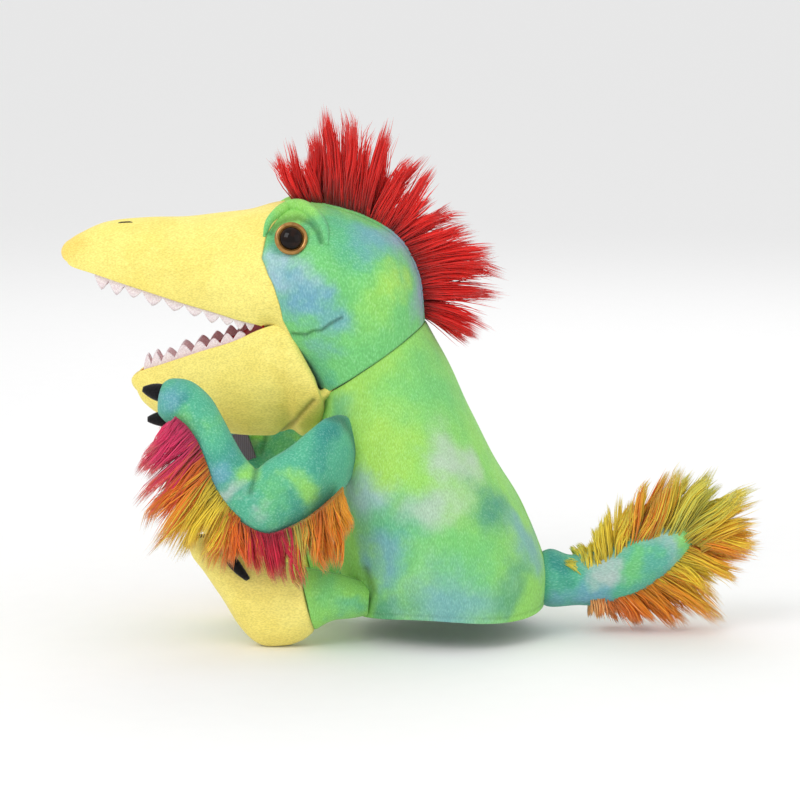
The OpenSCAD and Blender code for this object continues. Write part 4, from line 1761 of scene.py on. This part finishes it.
@dataclass(frozen=True)
class Trim:
    """A long-pile trim: thousands of tapered strands drawn together into wisps."""

    name: str
    roots: tuple[tuple[float, float], ...]
    tips: tuple[tuple[float, float], ...]
    finish: Fur
    slot: Slot
    node: str
    body: str
    seed: int
    count: int = 3600
    wisps: int = 44
    root_half: float = 6.0
    tip_half: float = 12.0
    out: float = 0.0
    wrap: float = 0.0
    thick: float = 0.36
    bow: float = 0.12
    curl: float = 0.12
    droop: float = 0.0
    shortest: float = 0.3
    patchy: float = 0.05
    loose_share: float = 0.12
    short_share: float = 0.4
    sway: float = 0.03
    waves: float = 5.0
    taper: tuple[float, ...] = (1.0, 1.1, 0.95, 0.75, 0.45, 0.0)

    @property
    def steps(self) -> int:
        """How many points a strand is drawn through."""
        return len(self.taper)

    def build(self) -> None:
        """Makes the trim."""
        rng = random.Random(self.seed)
        wisps = [Wisp(rng, k / self.wisps) for k in range(self.wisps)]
        lines = np.zeros((self.count, self.steps, 3))
        sizes = np.zeros((self.count, self.steps))
        runs = np.zeros(self.count)
        shades = np.zeros(self.count)
        for k in range(self.count):
            points, run = self.strand(rng, wisps)
            lines[k] = points
            sizes[k] = np.array(self.taper) * rng.uniform(0.6, 1.15) * self.thick * MM
            runs[k] = min(max(run + rng.gauss(0, self.patchy), 0.0), 1.0)
            shades[k] = rng.uniform(0.78, 1.12)
        piece = self.stamp(lines, sizes, runs, shades)
        show(piece, self.finish, (self.node,))
        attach(piece, self.body)

    def template(self) -> tuple[np.ndarray, list[list[int]]]:
        """Makes one strand of unit radius, a step high at each ring and pointed at its tip.

        Returns:
            Its vertices and its faces' corners.
        """
        bm = bmesh.new()
        bmesh.ops.create_circle(bm, cap_ends=True, segments=4, radius=1.0)
        edges = list(bm.edges)
        for _ in range(self.steps - 1):
            made = bmesh.ops.extrude_edge_only(bm, edges=edges)["geom"]
            edges = [g for g in made if isinstance(g, bmesh.types.BMEdge)]
            top = [g for g in made if isinstance(g, bmesh.types.BMVert)]
            bmesh.ops.translate(bm, vec=(0, 0, 1), verts=top)
            edges = [e for e in edges if all(v in top for v in e.verts)]
        bmesh.ops.pointmerge(bm, verts=top, merge_co=(0, 0, self.steps - 1))
        bmesh.ops.recalc_face_normals(bm, faces=bm.faces)
        bm.verts.index_update()
        places = np.array([v.co[:] for v in bm.verts])
        faces = [[v.index for v in face.verts] for face in bm.faces]
        bm.free()
        return places, faces

    def stamp(self, lines: np.ndarray, sizes: np.ndarray, runs: np.ndarray,
              shades: np.ndarray) -> bpy.types.Object:
        """Bends a copy of the template along every strand's line.

        Args:
            lines: Each strand's points in metres.
            sizes: Each strand's radius at those points.
            runs: Each strand's place along the trim.
            shades: Each strand's lightness.

        Returns:
            The trim's object, with lie, run and shade kept on it.
        """
        places, faces = self.template()
        step = np.round(places[:, 2]).astype(int)
        ahead = np.gradient(lines, axis=1)
        ahead /= np.linalg.norm(ahead, axis=2, keepdims=True) + 1e-12
        across = np.cross(ahead, (0.31, 0.9, 0.3))
        across /= np.linalg.norm(across, axis=2, keepdims=True) + 1e-12
        third = np.cross(ahead, across)
        spread = places[:, 0, None] * across[:, step] + places[:, 1, None] * third[:, step]
        verts = (lines[:, step] + sizes[:, step, None] * spread).reshape(-1, 3)
        each = len(places)
        corners_of = [[c + each * k for c in face] for k in range(self.count) for face in faces]
        mesh = bpy.data.meshes.new(self.name)
        mesh.from_pydata(verts.tolist(), [], corners_of)
        mesh.shade_smooth()
        values = {"lie": np.tile(step / (self.steps - 1), self.count),
                  "run": np.repeat(runs, each), "shade": np.repeat(shades, each)}
        for name, numbers in values.items():
            attribute = mesh.attributes.new(name, "FLOAT", "POINT")
            attribute.data.foreach_set("value", numbers.astype(np.float32))
        piece = bpy.data.objects.new(self.name, mesh)
        bpy.context.scene.collection.objects.link(piece)
        return piece

    def strand(self, rng: random.Random, wisps: Sequence[Wisp]) -> tuple[list[Vector], float]:
        """Draws one strand.

        Args:
            rng: The source of chance.
            wisps: The wisps that the strands are drawn together into.

        Returns:
            The strand's points in metres and its place along the trim.
        """
        run, across = rng.random(), rng.uniform(-1, 1)
        wisp = min(wisps, key=lambda k: (k.run - run) ** 2 + (0.05 * (k.across - across)) ** 2)
        root_x, root_z = between(self.roots, run * (len(self.roots) - 1))
        root = Vector((root_x, self.out + across * self.root_half,
                       root_z - self.wrap * across * across))
        loose = rng.random() < self.loose_share
        pull = rng.uniform(0.0, 0.3) if loose else rng.uniform(0.7, 1.0)
        tip_run = run + (wisp.run - run) * pull
        tip_across = across + (wisp.across - across) * pull
        tip_x, tip_z = between(self.tips, min(max(tip_run, 0), 1) * (len(self.tips) - 1))
        tip = Vector((tip_x, self.out + tip_across * self.tip_half, tip_z))
        short = rng.random() < self.short_share
        share = wisp.reach * (rng.uniform(self.shortest, 0.7) if short else rng.uniform(0.82, 1.0))
        reach = (tip - root) * share
        chance = Vector((rng.gauss(0, 1), rng.gauss(0, 1), rng.gauss(0, 1)))
        sway = chance * self.sway * reach.length
        bend = Vector((0, across, 1)) * self.bow * reach.length + sway
        end = root + reach + sway - Vector((0, 0, self.droop * reach.length))
        points = []
        for k in range(self.steps):
            f = k / (self.steps - 1)
            wave = math.sin(wisp.phase + f * self.waves) - math.sin(wisp.phase)
            swing = wisp.lean * (self.curl * reach.length * f * wave)
            points.append(root.lerp(end, f) + bend * 2 * f * (1 - f) + swing)
        for point in points:
            point.z = max(point.z, self.thick)
        return [p * MM for p in points], run


def crest() -> Trim:
    """The red crest along the crown and nape."""
    return Trim("crest_fur",
                ((-70, 258), (-58, 259), (-46, 257), (-32, 251), (-22, 243), (-13, 234),
                 (-6, 223), (-1, 210), (2, 199), (4, 192)),
                ((-90, 288), (-73, 300), (-52, 321), (-34, 311), (-12, 302), (9, 287),
                 (24, 260), (41, 241), (52, 224), (53, 207), (48, 184), (30, 174)),
                CREST_FUR, Slot.RED_FUR, "crest_pile", "head", seed=11, count=4600, wisps=62,
                root_half=7.5, tip_half=17, thick=0.4, bow=0.1, curl=0.09)


def arm_trims(side: Side) -> list[Trim]:
    """The trims of one arm: along the forearm and under the elbow.

    Args:
        side: The side of the puppet.

    Returns:
        The forearm's trim and the elbow's.
    """
    word = side.word
    out = side.value * 73.0
    forearm = Trim(f"forearm_fur_{word}",
                   ((-138, 143), (-131, 137), (-125, 128), (-120, 116), (-116, 104), (-109, 93),
                    (-101, 84)),
                   ((-154, 124), (-163, 106), (-158, 92), (-157, 74), (-146, 57), (-131, 50),
                    (-112, 52)),
                   FOREARM_FUR, Slot.RAINBOW_FUR, f"forearm_fringe_{word}", f"arm_{word}",
                   seed=21 + side.value, count=2600, wisps=30, root_half=8.5, tip_half=9,
                   out=out, bow=0.1, curl=0.13, droop=0.04)
    elbow = Trim(f"elbow_fur_{word}",
                 ((-108, 88), (-98, 80), (-86, 75), (-74, 78), (-62, 84), (-52, 91), (-42, 100)),
                 ((-106, 57), (-92, 50), (-78, 40), (-65, 39), (-56, 47), (-45, 52), (-36, 64)),
                 ELBOW_FUR, Slot.RAINBOW_FUR, f"elbow_fringe_{word}", f"arm_{word}",
                 seed=31 + side.value, count=2600, wisps=30, root_half=8.5, tip_half=9,
                 out=out, bow=-0.05, curl=0.13, droop=0.03)
    return [forearm, elbow]


def tail_trims() -> list[Trim]:
    """The trims above and below the tail."""
    top = Trim("tail_fur_top",
               ((99, 43), (109, 46), (119, 51), (129, 58), (141, 62), (152, 64), (162, 64),
                (170, 62), (172, 57)),
               ((88, 47), (104, 63), (118, 79), (138, 89), (160, 98), (182, 104), (202, 91),
                (211, 75), (210, 60)),
               TAIL_TOP_FUR, Slot.RAINBOW_FUR, "tail_fringe_top", "tail", seed=41, count=4400,
               wisps=48, root_half=14, tip_half=15, wrap=8, bow=0.08, curl=0.12)
    low = Trim("tail_fur_low",
               ((106, 19), (117, 20), (128, 22), (139, 29), (148, 36), (158, 45), (166, 54),
                (171, 58)),
               ((106, 7), (124, 3), (146, 1.5), (168, 1.5), (187, 3), (190, 22), (199, 36),
                (208, 46), (211, 57)),
               TAIL_LOW_FUR, Slot.RAINBOW_FUR, "tail_fringe_bottom", "tail", seed=51,
               count=4600, wisps=64, root_half=12, tip_half=16, wrap=-4, bow=0.04, curl=0.1)
    return [top, low]


# --- the label and the inside -------------------------------------------------------------


@dataclass
class Label:
    """The blank woven label, folded into a loop and sewn into the right arm's seam."""

    wide: float = 10.0
    long: float = 18.0
    root: tuple[float, float, float] = (-109.0, 56.5, 112.0)
    hang: tuple[float, float] = (0.36, 0.93)
    lean: float = 0.11
    curl: float = 0.004

    def build(self) -> None:
        """Makes the label."""
        def place(u: float, w: float) -> Vector:
            """The label's point: down one leaf and back up the other.

            Args:
                u: The share of the way across.
                w: The share of the way along.

            Returns:
                The point.
            """
            leaf = 1 - abs(2 * w - 1)
            gap = math.copysign(0.4 + 0.8 * math.sin(leaf * math.pi), 0.5 - w)
            x, y, z = self.root
            reach = self.long * leaf
            side = (u - 0.5) * self.wide
            back, down = self.hang
            return Vector((x + back * reach + down * side,
                           y - self.lean * reach - self.curl * reach * reach + gap,
                           z - down * reach + back * side)) * MM

        skin = Skin("care_label_loop", place, 12, 60, ripple=0.15, thick=0.35)
        piece = skin.build()
        show(piece, LABEL, ("care_label",))
        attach(piece, "arm_right")


class Inside(Enum):
    """The finish of each kind of hidden CAD node, by a word in the node's name."""

    HAND_SLEEVE = ("hand_sleeve", LINING)
    NECK = ("neck_gusset", LINING)
    CREST = ("crest_backing", TAPE_FELT)
    BOARD = ("board", BOARD)
    POCKET = ("pocket", LINING)
    WADDING = ("wadding", WADDING)
    WASHER = ("washers", WASHER)

    @classmethod
    def finish_of(cls, node: str) -> object | None:
        """The finish of a CAD node, or None if the node isn't one of these."""
        found = [kind.value[1] for kind in cls if kind.value[0] in node]
        return found[0] if found else None


def dress_inside(nodes: dict[str, bpy.types.Object]) -> None:
    """Gives every CAD node that still shows its finish.

    Args:
        nodes: The CAD nodes by name.
    """
    for name, node in nodes.items():
        finish = Inside.finish_of(name)
        if finish is not None and not node.hide_render:
            WARDROBE.dress(node, finish)
            log.info("%s: CAD node dressed", name)
        elif not node.hide_render:
            log.warning("%s: CAD node left plain", name)


# --- studio -------------------------------------------------------------------------------


@dataclass
class Studio:
    """A pale floor, soft lights and the camera."""

    aim: tuple[float, float, float] = (-9.0, 0.0, 141.0)
    elevation: float = 8.5
    distance: float = 1800.0
    frame_wide: float = 480.0
    floor: float = 45.0

    def build(self) -> None:
        """Sets the stage."""
        self.backdrop()
        self.lights()
        self.camera()

    def backdrop(self) -> None:
        """Makes the floor and the air's light."""
        bm = bmesh.new()
        bmesh.ops.create_grid(bm, x_segments=8, y_segments=8, size=self.floor)
        sheet = to_object(bm, "floor")
        tree = Tree("floor_paper")
        grain = tree.noise(tree.place(), 60.0, 2.0)
        colour = tree.mix(grain, (0.93, 0.93, 0.93), (0.95, 0.95, 0.95))
        sheet.data.materials.append(tree.surface(Base_Color=colour, Roughness=0.9))
        world = bpy.data.worlds.new("studio_air")
        world.use_nodes = True
        shade = world.node_tree.nodes["Background"]
        shade.inputs["Color"].default_value = (1.0, 1.0, 1.0, 1.0)
        shade.inputs["Strength"].default_value = 0.85
        bpy.context.scene.world = world

    def lights(self) -> None:
        """Makes the soft lights."""
        for name, spot, size, power in (
                ("key", (-0.9, -1.3, 1.5), 1.0, 12.0),
                ("fill", (1.4, -1.2, 0.8), 1.4, 2.5),
                ("back", (0.3, 1.4, 1.4), 1.2, 5.0)):
            lamp = bpy.data.lights.new(name, "AREA")
            lamp.size = size
            lamp.energy = power
            piece = bpy.data.objects.new(name, lamp)
            piece.location = spot
            aim = Vector((0, 0, 0.12)) - Vector(spot)
            piece.rotation_euler = aim.to_track_quat("-Z", "Y").to_euler()
            bpy.context.scene.collection.objects.link(piece)

    def camera(self) -> None:
        """Makes the camera, level with the puppet's side and a little above it."""
        lens = bpy.data.cameras.new("camera")
        lens.sensor_width = 36.0
        lens.lens = lens.sensor_width * self.distance / self.frame_wide
        camera = bpy.data.objects.new("camera", lens)
        tilt = math.radians(self.elevation)
        back = Vector((0, -math.cos(tilt), math.sin(tilt)))
        camera.location = (Vector(self.aim) + back * self.distance) * MM
        camera.rotation_euler = (-back).to_track_quat("-Z", "Y").to_euler()
        bpy.context.scene.collection.objects.link(camera)
        bpy.context.scene.camera = camera


def main() -> None:
    """Builds the puppet round its frame."""
    logging.basicConfig(level=logging.INFO, format="%(message)s")
    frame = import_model()
    bpy.context.scene.view_settings.view_transform = "Standard"
    Studio().build()
    Body().build()
    head = Head()
    head.build()
    jaw = Jaw()
    jaw.build()
    MouthLining(head.form, jaw).build()
    for side in Side:
        Arm(side).build()
        Leg(side).build()
    Tail().build()
    trims = [crest(), *tail_trims()]
    for side in Side:
        trims += arm_trims(side)
    for trim in trims:
        trim.build()
    Label().build()
    dress_inside(frame["nodes"])


if __name__ == "__main__":
    main()
